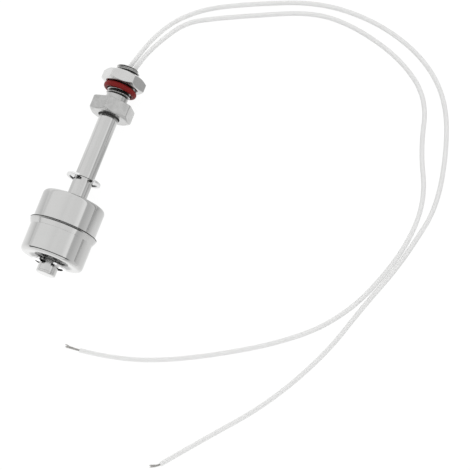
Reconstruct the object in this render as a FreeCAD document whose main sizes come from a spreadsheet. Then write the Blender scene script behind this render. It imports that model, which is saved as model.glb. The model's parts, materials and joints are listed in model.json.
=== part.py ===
import FreeCAD, Part
import math
import os
import Sketcher

# Float level switch: a steel stem with a sliding magnetic float, a threaded hexagon fitting with its
# seal ring and lock nut, a reed contact sealed inside the stem and two loose wires.
# It lies on its float bead and on one flat of its lock nut, wires on the surface beside it.
# Heights are measured along the stem from its closed end, in mm. Angles are in degrees.
SIZES = {
    # Stem and the plug that closes it
    "stem_diameter": 8.0,
    "stem_wall": 1.0,
    "stem_reach": 75.3,
    "stem_socket": 4.5,
    "plug_head": 1.0,
    "plug_spigot": 3.0,
    "plug_chamfer": 0.35,
    # Hexagon fitting with its threaded neck
    "hex_across_flats": 16.0,
    "hex_height": 6.0,
    "hex_turn": 20.0,
    "hex_low_bevel_inset": 0.3,
    "hex_top_bevel_inset": -0.75,
    "bevel_angle": 30.0,
    "fitting_bore": 7.0,
    "thread_diameter": 10.0,
    "thread_length": 15.0,
    "thread_chamfer": 0.5,
    "undercut_depth": 0.7,
    "undercut_width": 1.2,
    "face_dish": 0.3,
    "face_dish_play": 0.25,
    # Lock nut
    "nut_across_flats": 16.0,
    "nut_height": 5.0,
    "nut_turn": 0.0,
    "nut_low_bevel_inset": 0.5,
    "nut_top_bevel_inset": 0.5,
    "nut_play": 0.05,
    "nut_countersink": 0.5,
    "thread_past_nut": 2.3,
    # Seal ring
    "ring_section": 2.2,
    "ring_play": 0.05,
    "ring_to_nut": 0.6,
    # Stop clips
    "clip_diameter": 14.3,
    "clip_thickness": 0.9,
    "clip_seat_play": 0.02,
    "clip_mouth": 5.8,
    "clip_relief": 10.6,
    "relief_start": 68.0,
    "relief_end": 155.0,
    "groove_diameter": 7.0,
    "groove_play": 0.04,
    "lower_clip_height": 3.9,
    "clip_span": 35.95,
    "upper_clip_turn": -76.0,
    "lower_clip_turn": -95.0,
    # Float
    "float_diameter": 26.0,
    "float_height": 26.4,
    "float_lift": 0.8,
    "bead_diameter": 28.0,
    "bead_height": 1.3,
    "shell_wall": 0.6,
    "shell_round": 1.6,
    "sleeve_play": 0.4,
    "sleeve_wall": 0.5,
    # Ring magnet and the two collars that hold it on the float's sleeve
    "magnet_diameter": 19.0,
    "magnet_height": 8.0,
    "magnet_play": 0.1,
    "magnet_chamfer": 0.5,
    "collar_diameter": 15.0,
    "collar_height": 3.0,
    "collar_chamfer": 0.8,
    # Reed contact
    "reed_offset": -0.4,
    "reed_height": 26.0,
    "glass_diameter": 2.0,
    "glass_length": 12.0,
    "glass_wall": 0.3,
    "glass_seal": 1.6,
    "glass_round": 0.5,
    "lead_diameter": 0.5,
    "lead_reach": 2.4,
    "blade_width": 0.9,
    "blade_thickness": 0.2,
    "blade_overlap": 1.2,
    "contact_gap": 0.06,
    "shrink_play": 0.05,
    "shrink_wall": 0.3,
    "shrink_reach": 0.8,
    # Solder joints and wires
    "solder_diameter": 1.5,
    "solder_length": 2.6,
    "solder_neck": 1.1,
    "solder_taper": 0.5,
    "wire_diameter": 1.75,
    "conductor_diameter": 0.8,
    "wire_offset": 2.05,
    "strand_diameter": 0.72,
    # Sealing compound in the neck
    "potting_depth": 12.0,
    "potting_recess": 0.2,
    # Gap between the wires and the surface that they lie on
    "rest_gap": 0.02,
}

# Points of each wire's route after it leaves the neck: x and y as seen from above, and the height.
WIRE_1_POINTS = [
    (1.0, 50.8, 7.1), (3.6, 61.2, 4.1), (8.9, 72.6, 0.0), (19.4, 82.3, 0.0), (36.1, 90.6, 0.0),
    (62.2, 101.3, 0.0), (86.8, 101.8, 0.0), (108.0, 95.4, 0.0), (122.8, 83.9, 0.0),
    (131.3, 66.7, 0.0), (137.0, 38.1, 0.0), (132.6, 18.0, 0.0), (128.8, 4.9, 0.0),
    (122.1, -12.3, 0.0), (114.4, -35.6, 0.0), (99.4, -62.0, 0.0), (80.6, -83.6, 0.0),
    (68.0, -98.7, 0.0),
]
WIRE_2_POINTS = [
    (3.2, 50.6, 7.1), (6.9, 61.2, 3.9), (13.8, 73.6, 0.0), (23.9, 79.3, 0.0), (39.2, 86.4, 0.0),
    (62.0, 96.5, 0.0), (80.6, 96.6, 0.0), (103.1, 90.0, 0.0), (118.5, 77.8, 0.0),
    (122.8, 57.2, 0.0), (131.6, 38.4, 0.0), (130.9, 17.3, 0.0), (122.5, -6.8, 0.0),
    (113.3, -21.3, 0.0), (102.6, -31.9, 0.0), (84.1, -44.7, 0.0), (56.1, -59.6, 0.0),
    (35.9, -66.1, 0.0), (21.9, -67.7, 0.0),
]
WIRE_1_STRAND_END = (64.1, -100.9, 0.0)
WIRE_2_STRAND_END = (15.7, -68.0, 0.0)

# Part of the shorter run that each bend of a wire or its strands takes up
BEND_SHARE = 0.45
# Part of the way to the strands' end at which they bend aside
STRAND_BEND = 0.35
# Largest share of a tube's volume by which it may differ from its section times its length
VOLUME_TOLERANCE = 0.002


def worked_out(size):
    """Return the sizes that follow from the driving ones, as a name to value dictionary."""
    more = {}
    more["stem_radius"] = size["stem_diameter"] / 2
    more["stem_bore_radius"] = more["stem_radius"] - size["stem_wall"]
    more["hex_low"] = size["stem_reach"] - size["hex_height"]
    more["stem_top"] = more["hex_low"] + size["stem_socket"]
    more["plug_edge_radius"] = more["stem_radius"] - size["plug_chamfer"]
    more["plug_top"] = size["plug_head"] + size["plug_spigot"]
    more["thread_radius"] = size["thread_diameter"] / 2
    more["thread_end"] = size["stem_reach"] + size["thread_length"]
    more["thread_edge_radius"] = more["thread_radius"] - size["thread_chamfer"]
    more["thread_edge_height"] = more["thread_end"] - size["thread_chamfer"]
    more["undercut_radius"] = more["thread_radius"] - size["undercut_depth"]
    more["undercut_top"] = size["stem_reach"] + size["undercut_width"]
    more["undercut_edge"] = more["undercut_top"] + size["undercut_depth"]
    more["dish_radius"] = more["thread_radius"] + size["face_dish_play"]
    more["dish_low"] = size["stem_reach"] - size["face_dish"]
    more["fitting_bore_radius"] = size["fitting_bore"] / 2
    add_hexagon(more, size, "hex", more["hex_low"], size["stem_reach"])
    more["nut_top"] = more["thread_end"] - size["thread_past_nut"]
    more["nut_low"] = more["nut_top"] - size["nut_height"]
    add_hexagon(more, size, "nut", more["nut_low"], more["nut_top"])
    more["nut_flat_radius"] = size["nut_across_flats"] / 2
    cut = max(0.0, more["nut_flat_radius"] - more["nut_top_bevel_radius"])
    more["nut_rest_height"] = more["nut_top"] - cut * math.tan(math.radians(size["bevel_angle"]))
    add_nut_bore(more, size)
    more["ring_radius"] = size["ring_section"] / 2
    more["ring_centre_radius"] = more["thread_radius"] + size["ring_play"] + more["ring_radius"]
    more["ring_height"] = more["nut_low"] - size["ring_to_nut"] - more["ring_radius"]
    add_clips(more, size)
    add_float(more, size)
    add_magnet(more, size)
    add_reed(more, size)
    add_wires(more, size)
    return more


def add_hexagon(more, size, name, low, top):
    """Add the corner radius and the two bevels of one hexagon between two heights."""
    flat_radius = size[name + "_across_flats"] / 2
    corner_radius = flat_radius / math.cos(math.radians(30))
    outside_radius = corner_radius + 1
    slope = math.tan(math.radians(size["bevel_angle"]))
    more[name + "_corner_radius"] = corner_radius
    more[name + "_outside_radius"] = outside_radius
    more[name + "_low_bevel_radius"] = flat_radius - size[name + "_low_bevel_inset"]
    more[name + "_top_bevel_radius"] = flat_radius - size[name + "_top_bevel_inset"]
    more[name + "_face_low"] = low
    more[name + "_face_top"] = top
    more[name + "_bevel_low"] = low + (outside_radius - more[name + "_low_bevel_radius"]) * slope
    more[name + "_bevel_top"] = top - (outside_radius - more[name + "_top_bevel_radius"]) * slope


def add_nut_bore(more, size):
    """Add the lock nut's bore and its countersinks."""
    more["nut_bore_radius"] = more["thread_radius"] + size["nut_play"]
    more["nut_mouth_radius"] = more["nut_bore_radius"] + size["nut_countersink"]
    more["nut_sink_low"] = more["nut_low"] + size["nut_countersink"]
    more["nut_sink_top"] = more["nut_top"] - size["nut_countersink"]


def add_clips(more, size):
    """Add the heights of both stop clips, their grooves and the outline of a clip."""
    more["groove_radius"] = size["groove_diameter"] / 2
    more["clip_radius"] = size["clip_diameter"] / 2
    more["clip_bore_radius"] = more["groove_radius"] + size["clip_seat_play"]
    more["clip_mouth_half"] = size["clip_mouth"] / 2
    more["clip_mouth_far"] = more["clip_radius"] + 1
    more["clip_relief_radius"] = size["clip_relief"] / 2
    start = math.radians(size["relief_start"])
    more["relief_start_x"] = more["clip_relief_radius"] * math.cos(start)
    more["relief_start_y"] = more["clip_relief_radius"] * math.sin(start)
    more["relief_end_x"] = more["clip_relief_radius"] * math.cos(math.radians(size["relief_end"]))
    lower_top = size["lower_clip_height"] + size["clip_thickness"]
    more["lower_clip_low"] = size["lower_clip_height"]
    more["lower_clip_top"] = lower_top
    more["upper_clip_low"] = lower_top + size["clip_span"]
    more["upper_clip_top"] = more["upper_clip_low"] + size["clip_thickness"]
    for name in ("lower", "upper"):
        more[name + "_groove_low"] = more[name + "_clip_low"] - size["groove_play"] / 2
        more[name + "_groove_top"] = more[name + "_clip_top"] + size["groove_play"] / 2
    more["groove_outside_radius"] = more["stem_radius"] + 1


def add_float(more, size):
    """Add the float's shells and its sleeve, at the height where the float rests."""
    more["float_radius"] = size["float_diameter"] / 2
    more["float_inner_radius"] = more["float_radius"] - size["shell_wall"]
    more["bead_radius"] = size["bead_diameter"] / 2
    more["float_low"] = more["lower_clip_top"] + size["float_lift"]
    more["float_top"] = more["float_low"] + size["float_height"]
    more["float_middle"] = (more["float_low"] + more["float_top"]) / 2
    more["bead_low"] = more["float_middle"] - size["bead_height"] / 2
    more["bead_top"] = more["float_middle"] + size["bead_height"] / 2
    more["float_floor"] = more["float_low"] + size["shell_wall"]
    more["float_ceiling"] = more["float_top"] - size["shell_wall"]
    more["shell_inner_round"] = size["shell_round"] - size["shell_wall"]
    more["sleeve_bore_radius"] = more["stem_radius"] + size["sleeve_play"]
    more["sleeve_radius"] = more["sleeve_bore_radius"] + size["sleeve_wall"]


def add_magnet(more, size):
    """Add the ring magnet and its collars, centred in the float."""
    more["magnet_radius"] = size["magnet_diameter"] / 2
    more["magnet_bore_radius"] = more["sleeve_radius"] + size["magnet_play"]
    more["magnet_low"] = more["float_middle"] - size["magnet_height"] / 2
    more["magnet_top"] = more["float_middle"] + size["magnet_height"] / 2
    more["magnet_edge_radius"] = more["magnet_radius"] - size["magnet_chamfer"]
    more["magnet_edge_low"] = more["magnet_low"] + size["magnet_chamfer"]
    more["magnet_edge_top"] = more["magnet_top"] - size["magnet_chamfer"]
    more["collar_radius"] = size["collar_diameter"] / 2
    more["collar_edge_radius"] = more["collar_radius"] - size["collar_chamfer"]
    more["lower_collar_far"] = more["magnet_low"] - size["collar_height"]
    more["lower_collar_edge"] = more["lower_collar_far"] + size["collar_chamfer"]
    more["upper_collar_far"] = more["magnet_top"] + size["collar_height"]
    more["upper_collar_edge"] = more["upper_collar_far"] - size["collar_chamfer"]


def add_reed(more, size):
    """Add the reed contact's glass, leads, blades and shrink sleeve."""
    more["glass_radius"] = size["glass_diameter"] / 2
    more["glass_inner_radius"] = more["glass_radius"] - size["glass_wall"]
    more["glass_low"] = size["reed_height"] - size["glass_length"] / 2
    more["glass_top"] = size["reed_height"] + size["glass_length"] / 2
    more["cavity_low"] = more["glass_low"] + size["glass_seal"]
    more["cavity_top"] = more["glass_top"] - size["glass_seal"]
    more["lead_radius"] = size["lead_diameter"] / 2
    more["upper_lead_end"] = more["glass_top"] + size["lead_reach"]
    more["hook_height"] = more["glass_low"] - size["lead_reach"]
    more["hook_end"] = more["hook_height"] + size["solder_length"] / 2
    more["hook_span"] = size["wire_offset"] - size["reed_offset"]
    more["hook_radius"] = more["hook_span"] / 2
    more["blade_inner"] = size["contact_gap"] / 2
    more["blade_outer"] = more["blade_inner"] + size["blade_thickness"]
    more["blade_inner_far"] = -more["blade_inner"]
    more["blade_outer_far"] = -more["blade_outer"]
    more["blade_half_width"] = size["blade_width"] / 2
    more["blade_half_width_far"] = -more["blade_half_width"]
    more["upper_blade_length"] = more["cavity_top"] - size["reed_height"] + size["blade_overlap"] / 2
    more["lower_blade_length"] = size["reed_height"] + size["blade_overlap"] / 2 - more["cavity_low"]
    more["shrink_bore_radius"] = more["glass_radius"] + size["shrink_play"]
    more["shrink_radius"] = more["shrink_bore_radius"] + size["shrink_wall"]
    more["shrink_low"] = more["glass_low"] - size["shrink_reach"]
    more["shrink_top"] = more["glass_top"] + size["shrink_reach"]


def add_wires(more, size):
    """Add the solder joints, the wires' stretch inside the stem and the sealing compound."""
    more["solder_radius"] = size["solder_diameter"] / 2
    more["solder_neck_radius"] = size["solder_neck"] / 2
    more["wire_radius"] = size["wire_diameter"] / 2
    more["conductor_radius"] = size["conductor_diameter"] / 2
    for name, middle in (("upper", more["upper_lead_end"]), ("lower", more["hook_end"])):
        low = middle - size["solder_length"] / 2
        top = middle + size["solder_length"] / 2
        more[name + "_solder_low"] = low
        more[name + "_solder_middle"] = middle
        more[name + "_solder_top"] = top
        more[name + "_solder_shoulder_low"] = low + size["solder_taper"]
        more[name + "_solder_shoulder_top"] = top - size["solder_taper"]
    more["potting_face"] = more["thread_end"] - size["potting_recess"]
    more["potting_low"] = more["potting_face"] - size["potting_depth"]


class Model:
    """The document, its sheet of sizes and the sub-parts made so far."""

    def __init__(self):
        self.document = FreeCAD.newDocument("FloatLevelSwitch")
        self.size = dict(SIZES)
        self.size.update(worked_out(SIZES))
        self.sheet = self.document.addObject("Spreadsheet::Sheet", "Sizes")
        for row, (name, value) in enumerate(self.size.items(), start=1):
            self.sheet.set(f"A{row}", name)
            self.sheet.set(f"B{row}", repr(float(value)))
            self.sheet.setAlias(f"B{row}", name)
        self.document.recompute()
        self.tilt = self.rest_tilt()
        self.placement = self.rest_placement()
        self.parts = []

    def value(self, name):
        """Return a size by its name, and 0 for the number 0."""
        if name == 0:
            return 0.0
        return self.size[name]

    def rest_tilt(self):
        """Return the stem's slope, in degrees, when bead and lock nut both touch the surface."""
        rise = self.size["bead_radius"] - self.size["nut_flat_radius"]
        reach = self.size["nut_rest_height"] - self.size["bead_top"]
        return math.degrees(math.atan2(rise, reach))

    def rest_placement(self):
        """Return the placement that lays the stem's axis along the surface, centred on its length."""
        slope = math.radians(self.tilt)
        height = self.size["nut_flat_radius"] * math.cos(slope) + self.size["nut_rest_height"] * math.sin(slope)
        far = self.size["thread_end"] * math.cos(slope) + self.size["thread_edge_radius"] * math.sin(slope)
        near = -self.size["plug_edge_radius"] * math.sin(slope)
        start = FreeCAD.Vector(0, -(far + near) / 2, height)
        turn = FreeCAD.Rotation(FreeCAD.Vector(1, 0, 0), -(90 + self.tilt))
        return FreeCAD.Placement(start, turn)

    def body(self, label):
        """Start a sub-part's body."""
        body = self.document.addObject("PartDesign::Body", label)
        body.Label = label
        return body

    def keep(self, part, placement=None):
        """Place a finished sub-part and keep it for the export."""
        part.Placement = self.placement if placement is None else placement
        self.parts.append(part)
        return part

    def sketch(self, body, role, name, height=None, across=None, turn=None):
        """Add a sketch on one of the body's own planes, moved by named sizes."""
        plane = [item for item in body.Origin.OriginFeatures if item.Role == role][0]
        sketch = body.newObject("Sketcher::SketchObject", body.Name + name)
        sketch.AttachmentSupport = [(plane, "")]
        sketch.MapMode = "FlatFace"
        if turn is not None:
            spin = FreeCAD.Rotation(FreeCAD.Vector(0, 0, 1), self.value(turn))
            sketch.AttachmentOffset = FreeCAD.Placement(FreeCAD.Vector(0, 0, 0), spin)
        if height is not None:
            sketch.setExpression("AttachmentOffset.Base.z", "Sizes." + height)
        if across is not None:
            sketch.setExpression("AttachmentOffset.Base.x", "Sizes." + across)
        return sketch

    def bind(self, sketch, kind, geometry, point, name):
        """Tie one coordinate of a sketch point to a named size, or to the sketch's own axis."""
        if name == 0:
            axis = -2 if kind == "DistanceX" else -1
            sketch.addConstraint(Sketcher.Constraint("PointOnObject", geometry, point, axis))
            return
        constraint = Sketcher.Constraint(kind, -1, 1, geometry, point, self.value(name))
        index = sketch.addConstraint(constraint)
        sketch.setExpression(f"Constraints[{index}]", "Sizes." + name)

    def outline(self, sketch, corners):
        """Draw a closed outline of straight lines whose corners are pairs of named sizes."""
        points = [FreeCAD.Vector(self.value(x), self.value(y), 0) for x, y in corners]
        count = len(points)
        first = sketch.GeometryCount
        for index in range(count):
            line = Part.LineSegment(points[index], points[(index + 1) % count])
            sketch.addGeometry(line, False)
        for index in range(count):
            after = first + (index + 1) % count
            sketch.addConstraint(Sketcher.Constraint("Coincident", first + index, 2, after, 1))
        for index, (x, y) in enumerate(corners):
            self.bind(sketch, "DistanceX", first + index, 1, x)
            self.bind(sketch, "DistanceY", first + index, 1, y)

    def circle(self, sketch, radius, x=0, y=0):
        """Draw a circle of a named radius with its centre at named sizes."""
        centre = FreeCAD.Vector(self.value(x), self.value(y), 0)
        normal = FreeCAD.Vector(0, 0, 1)
        geometry = sketch.addGeometry(Part.Circle(centre, normal, self.value(radius)), False)
        index = sketch.addConstraint(Sketcher.Constraint("Radius", geometry, self.value(radius)))
        sketch.setExpression(f"Constraints[{index}]", "Sizes." + radius)
        if x == 0 and y == 0:
            sketch.addConstraint(Sketcher.Constraint("Coincident", geometry, 3, -1, 1))
            return
        self.bind(sketch, "DistanceX", geometry, 3, x)
        self.bind(sketch, "DistanceY", geometry, 3, y)

    def hexagon(self, sketch, corner_radius):
        """Draw a regular hexagon inscribed in a circle of a named radius, one corner on the x axis."""
        radius = self.value(corner_radius)
        corners = []
        for index in range(6):
            angle = math.radians(60 * index)
            corners.append(FreeCAD.Vector(radius * math.cos(angle), radius * math.sin(angle), 0))
        for index in range(6):
            sketch.addGeometry(Part.LineSegment(corners[index], corners[(index + 1) % 6]), False)
        ring = sketch.addGeometry(Part.Circle(FreeCAD.Vector(), FreeCAD.Vector(0, 0, 1), radius), True)
        sketch.addConstraint(Sketcher.Constraint("Coincident", ring, 3, -1, 1))
        index = sketch.addConstraint(Sketcher.Constraint("Radius", ring, radius))
        sketch.setExpression(f"Constraints[{index}]", "Sizes." + corner_radius)
        for index in range(6):
            sketch.addConstraint(Sketcher.Constraint("Coincident", index, 2, (index + 1) % 6, 1))
            sketch.addConstraint(Sketcher.Constraint("PointOnObject", index, 1, ring))
        for index in range(1, 6):
            sketch.addConstraint(Sketcher.Constraint("Equal", 0, index))
        sketch.addConstraint(Sketcher.Constraint("PointOnObject", 0, 1, -1))

    def revolve(self, body, corners, name="Turned", across=None):
        """Turn an outline of named radii and heights about the stem's axis, or one beside it."""
        sketch = self.sketch(body, "XZ_Plane", name + "Outline", across=across)
        self.outline(sketch, corners)
        feature = body.newObject("PartDesign::Revolution", body.Name + name)
        feature.Profile = sketch
        feature.ReferenceAxis = (sketch, ["V_Axis"])
        feature.Angle = 360
        self.document.recompute()
        return feature

    def groove(self, body, corners, name):
        """Turn away an outline of named radii and heights, and check that it cuts."""
        before = body.Shape.Volume
        sketch = self.sketch(body, "XZ_Plane", name + "Outline")
        self.outline(sketch, corners)
        feature = body.newObject("PartDesign::Groove", body.Name + name)
        feature.Profile = sketch
        feature.ReferenceAxis = (sketch, ["V_Axis"])
        feature.Angle = 360
        self.document.recompute()
        if body.Shape.Volume >= before:
            raise ValueError(f"{feature.Name} cuts nothing")
        return feature

    def pad(self, body, sketch, length, name, downward=False):
        """Raise a sketch by a named length."""
        feature = body.newObject("PartDesign::Pad", body.Name + name)
        feature.Profile = sketch
        feature.setExpression("Length", "Sizes." + length)
        feature.Reversed = downward
        self.document.recompute()
        return feature

    def cut_through(self, body, sketch, name):
        """Cut a sketch through the body both ways, and check that it cuts."""
        before = body.Shape.Volume
        feature = body.newObject("PartDesign::Pocket", body.Name + name)
        feature.Profile = sketch
        feature.Type = "ThroughAll"
        feature.Midplane = True
        self.document.recompute()
        if body.Shape.Volume >= before:
            raise ValueError(f"{feature.Name} cuts nothing")
        return feature

    def round_edge(self, body, edge_radius, height, fillet_radius, name):
        """Round the circular edge that has a named radius at a named height."""
        before = body.Tip
        radius = self.value(edge_radius)
        level = self.value(height)
        chosen = []
        for index, edge in enumerate(before.Shape.Edges, start=1):
            if not isinstance(edge.Curve, Part.Circle):
                continue
            if abs(edge.Curve.Radius - radius) < 1e-4 and abs(edge.Curve.Center.z - level) < 1e-4:
                chosen.append(f"Edge{index}")
        if not chosen:
            raise ValueError(f"{body.Name} has no edge for {name}")
        feature = body.newObject("PartDesign::Fillet", body.Name + name)
        feature.Base = (before, chosen)
        feature.setExpression("Radius", "Sizes." + fillet_radius)
        self.document.recompute()
        return feature


def bevel_corners(model, body, name):
    """Turn the corners of a hexagon down to its bevel circle at both faces."""
    outside = name + "_outside_radius"
    top = name + "_face_top"
    low = name + "_face_low"
    model.groove(body, [
        (name + "_top_bevel_radius", top), (outside, name + "_bevel_top"), (outside, top),
    ], "TopBevel")
    model.groove(body, [
        (name + "_low_bevel_radius", low), (outside, low), (outside, name + "_bevel_low"),
    ], "LowBevel")


def make_hex_fitting(model):
    """Make the hexagon with its threaded neck, the undercut that dishes its face, wire bore and stem socket."""
    body = model.body("hex_fitting")
    sketch = model.sketch(body, "XY_Plane", "Hexagon", height="hex_low", turn="hex_turn")
    model.hexagon(sketch, "hex_corner_radius")
    model.pad(body, sketch, "hex_height", "HexagonPad")
    bevel_corners(model, body, "hex")
    model.revolve(body, [
        (0, "hex_low"), ("undercut_radius", "hex_low"), ("undercut_radius", "undercut_top"),
        ("thread_radius", "undercut_edge"), ("thread_radius", "thread_edge_height"),
        ("thread_edge_radius", "thread_end"), (0, "thread_end"),
    ], "Neck")
    model.groove(body, [
        ("undercut_radius", "dish_low"), ("dish_radius", "hex_face_top"), ("undercut_radius", "hex_face_top"),
    ], "FaceDish")
    model.groove(body, [
        (0, "hex_low"), ("stem_radius", "hex_low"), ("stem_radius", "stem_top"),
        ("fitting_bore_radius", "stem_top"), ("fitting_bore_radius", "thread_end"), (0, "thread_end"),
    ], "Bore")
    return model.keep(body)


def make_stem_tube(model):
    """Make the stem's tube with its two clip grooves."""
    body = model.body("stem_tube")
    model.revolve(body, [
        ("stem_bore_radius", "plug_head"), ("stem_radius", "plug_head"),
        ("stem_radius", "stem_top"), ("stem_bore_radius", "stem_top"),
    ])
    for name in ("lower", "upper"):
        low = name + "_groove_low"
        top = name + "_groove_top"
        model.groove(body, [
            ("groove_radius", low), ("groove_outside_radius", low),
            ("groove_outside_radius", top), ("groove_radius", top),
        ], name.capitalize() + "Groove")
    return model.keep(body)


def make_end_plug(model):
    """Make the turned plug that closes the stem's lower end."""
    body = model.body("end_plug")
    model.revolve(body, [
        (0, 0), ("plug_edge_radius", 0), ("stem_radius", "plug_chamfer"), ("stem_radius", "plug_head"),
        ("stem_bore_radius", "plug_head"), ("stem_bore_radius", "plug_top"), (0, "plug_top"),
    ])
    return model.keep(body)


def make_lock_nut(model):
    """Make the lock nut with bevelled corners and a countersunk bore."""
    body = model.body("lock_nut")
    sketch = model.sketch(body, "XY_Plane", "Hexagon", height="nut_low", turn="nut_turn")
    model.hexagon(sketch, "nut_corner_radius")
    model.pad(body, sketch, "nut_height", "HexagonPad")
    bevel_corners(model, body, "nut")
    model.groove(body, [
        (0, "nut_low"), ("nut_mouth_radius", "nut_low"), ("nut_bore_radius", "nut_sink_low"),
        ("nut_bore_radius", "nut_sink_top"), ("nut_mouth_radius", "nut_top"), (0, "nut_top"),
    ], "Bore")
    return model.keep(body)


def make_seal_ring(model):
    """Make the seal ring, round in section."""
    body = model.body("seal_ring")
    sketch = model.sketch(body, "XZ_Plane", "Section")
    model.circle(sketch, "ring_radius", "ring_centre_radius", "ring_height")
    feature = body.newObject("PartDesign::Revolution", "SealRingTurned")
    feature.Profile = sketch
    feature.ReferenceAxis = (sketch, ["V_Axis"])
    feature.Angle = 360
    model.document.recompute()
    return model.keep(body)


def make_stop_clip(model, name):
    """Make a stop clip: a flat ring open at one side, with three lugs that reach into its groove."""
    body = model.body(name + "_stop_clip")
    height = name + "_clip_low"
    turn = name + "_clip_turn"
    disc = model.sketch(body, "XY_Plane", "Disc", height=height, turn=turn)
    model.circle(disc, "clip_radius")
    model.pad(body, disc, "clip_thickness", "DiscPad")
    bore = model.sketch(body, "XY_Plane", "Bore", height=height, turn=turn)
    model.circle(bore, "clip_bore_radius")
    model.cut_through(body, bore, "BoreCut")
    mouth = model.sketch(body, "XY_Plane", "Mouth", height=height, turn=turn)
    draw_mouth(model, mouth)
    model.cut_through(body, mouth, "MouthCut")
    relief = model.sketch(body, "XY_Plane", "Relief", height=height, turn=turn)
    draw_relief(model, relief)
    cut = model.cut_through(body, relief, "ReliefCut")
    mirror = body.newObject("PartDesign::Mirrored", body.Name + "ReliefMirror")
    mirror.Originals = [cut]
    mirror.MirrorPlane = (relief, ["H_Axis"])
    body.Tip = mirror
    model.document.recompute()
    return model.keep(body)


def draw_mouth(model, sketch):
    """Draw the clip's mouth, a rectangle from the centre to beyond the rim, even about the x axis."""
    half = model.value("clip_mouth_half")
    far = model.value("clip_mouth_far")
    corners = [(0, -half), (far, -half), (far, half), (0, half)]
    points = [FreeCAD.Vector(x, y, 0) for x, y in corners]
    for index in range(4):
        sketch.addGeometry(Part.LineSegment(points[index], points[(index + 1) % 4]), False)
    for index in range(4):
        sketch.addConstraint(Sketcher.Constraint("Coincident", index, 2, (index + 1) % 4, 1))
    sketch.addConstraint(Sketcher.Constraint("Horizontal", 0))
    sketch.addConstraint(Sketcher.Constraint("Horizontal", 2))
    sketch.addConstraint(Sketcher.Constraint("Vertical", 1))
    sketch.addConstraint(Sketcher.Constraint("PointOnObject", 0, 1, -2))
    sketch.addConstraint(Sketcher.Constraint("Symmetric", 0, 1, 2, 2, -1, 1))
    model.bind(sketch, "DistanceX", 1, 2, "clip_mouth_far")
    model.bind(sketch, "DistanceY", 1, 2, "clip_mouth_half")


def draw_relief(model, sketch):
    """Draw the pocket between two lugs, a slice of a circle whose point is on the clip's axis."""
    radius = model.value("clip_relief_radius")
    start = math.radians(model.value("relief_start"))
    end = math.radians(model.value("relief_end"))
    centre = FreeCAD.Vector()
    first = FreeCAD.Vector(radius * math.cos(start), radius * math.sin(start), 0)
    last = FreeCAD.Vector(radius * math.cos(end), radius * math.sin(end), 0)
    circle = Part.Circle(centre, FreeCAD.Vector(0, 0, 1), radius)
    sketch.addGeometry(Part.LineSegment(centre, first), False)
    sketch.addGeometry(Part.ArcOfCircle(circle, start, end), False)
    sketch.addGeometry(Part.LineSegment(last, centre), False)
    sketch.addConstraint(Sketcher.Constraint("Coincident", 0, 1, -1, 1))
    sketch.addConstraint(Sketcher.Constraint("Coincident", 2, 2, -1, 1))
    sketch.addConstraint(Sketcher.Constraint("Coincident", 1, 3, -1, 1))
    sketch.addConstraint(Sketcher.Constraint("Coincident", 0, 2, 1, 1))
    sketch.addConstraint(Sketcher.Constraint("Coincident", 1, 2, 2, 1))
    model.bind(sketch, "DistanceX", 1, 1, "relief_start_x")
    model.bind(sketch, "DistanceY", 1, 1, "relief_start_y")
    model.bind(sketch, "DistanceX", 1, 2, "relief_end_x")


def make_float_shells(model):
    """Make the float's two drawn shells, joined rim to rim at the bead."""
    shells = []
    for name, end, floor, rim in (
        ("float_lower_shell", "float_low", "float_floor", "bead_low"),
        ("float_upper_shell", "float_top", "float_ceiling", "bead_top"),
    ):
        body = model.body(name)
        model.revolve(body, [
            ("sleeve_radius", end), ("float_radius", end), ("float_radius", rim),
            ("bead_radius", rim), ("bead_radius", "float_middle"),
            ("float_inner_radius", "float_middle"), ("float_inner_radius", floor),
            ("sleeve_radius", floor),
        ])
        model.round_edge(body, "float_radius", end, "shell_round", "OuterRound")
        model.round_edge(body, "float_inner_radius", floor, "shell_inner_round", "InnerRound")
        shells.append(model.keep(body))
    return shells


def make_float_sleeve(model):
    """Make the tube through the float that runs on the stem."""
    body = model.body("float_sleeve")
    model.revolve(body, [
        ("sleeve_bore_radius", "float_low"), ("sleeve_radius", "float_low"),
        ("sleeve_radius", "float_top"), ("sleeve_bore_radius", "float_top"),
    ])
    return model.keep(body)


def make_float_magnet(model):
    """Make the ring magnet on the float's sleeve."""
    body = model.body("float_magnet")
    model.revolve(body, [
        ("magnet_bore_radius", "magnet_low"), ("magnet_edge_radius", "magnet_low"),
        ("magnet_radius", "magnet_edge_low"), ("magnet_radius", "magnet_edge_top"),
        ("magnet_edge_radius", "magnet_top"), ("magnet_bore_radius", "magnet_top"),
    ])
    return model.keep(body)


def make_magnet_collars(model):
    """Make the two collars that hold the magnet on the sleeve."""
    collars = []
    for name, face in (("lower", "magnet_low"), ("upper", "magnet_top")):
        body = model.body("magnet_collar_" + name)
        model.revolve(body, [
            ("sleeve_radius", face), ("collar_radius", face), ("collar_radius", name + "_collar_edge"),
            ("collar_edge_radius", name + "_collar_far"), ("sleeve_radius", name + "_collar_far"),
        ])
        collars.append(model.keep(body))
    return collars


def make_reed_glass(model):
    """Make the reed contact's glass tube, sealed round a lead at each end."""
    body = model.body("reed_glass")
    model.revolve(body, [
        ("lead_radius", "glass_low"), ("glass_radius", "glass_low"), ("glass_radius", "glass_top"),
        ("lead_radius", "glass_top"), ("lead_radius", "cavity_top"), ("glass_inner_radius", "cavity_top"),
        ("glass_inner_radius", "cavity_low"), ("lead_radius", "cavity_low"),
    ], across="reed_offset")
    model.round_edge(body, "glass_radius", "glass_low", "glass_round", "LowRound")
    model.round_edge(body, "glass_radius", "glass_top", "glass_round", "TopRound")
    return model.keep(body)


def draw_blade(model, sketch, inner, outer):
    """Draw a flattened blade's section, beside the middle of the glass."""
    model.outline(sketch, [
        (inner, "blade_half_width_far"), (outer, "blade_half_width_far"),
        (outer, "blade_half_width"), (inner, "blade_half_width"),
    ])


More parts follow.
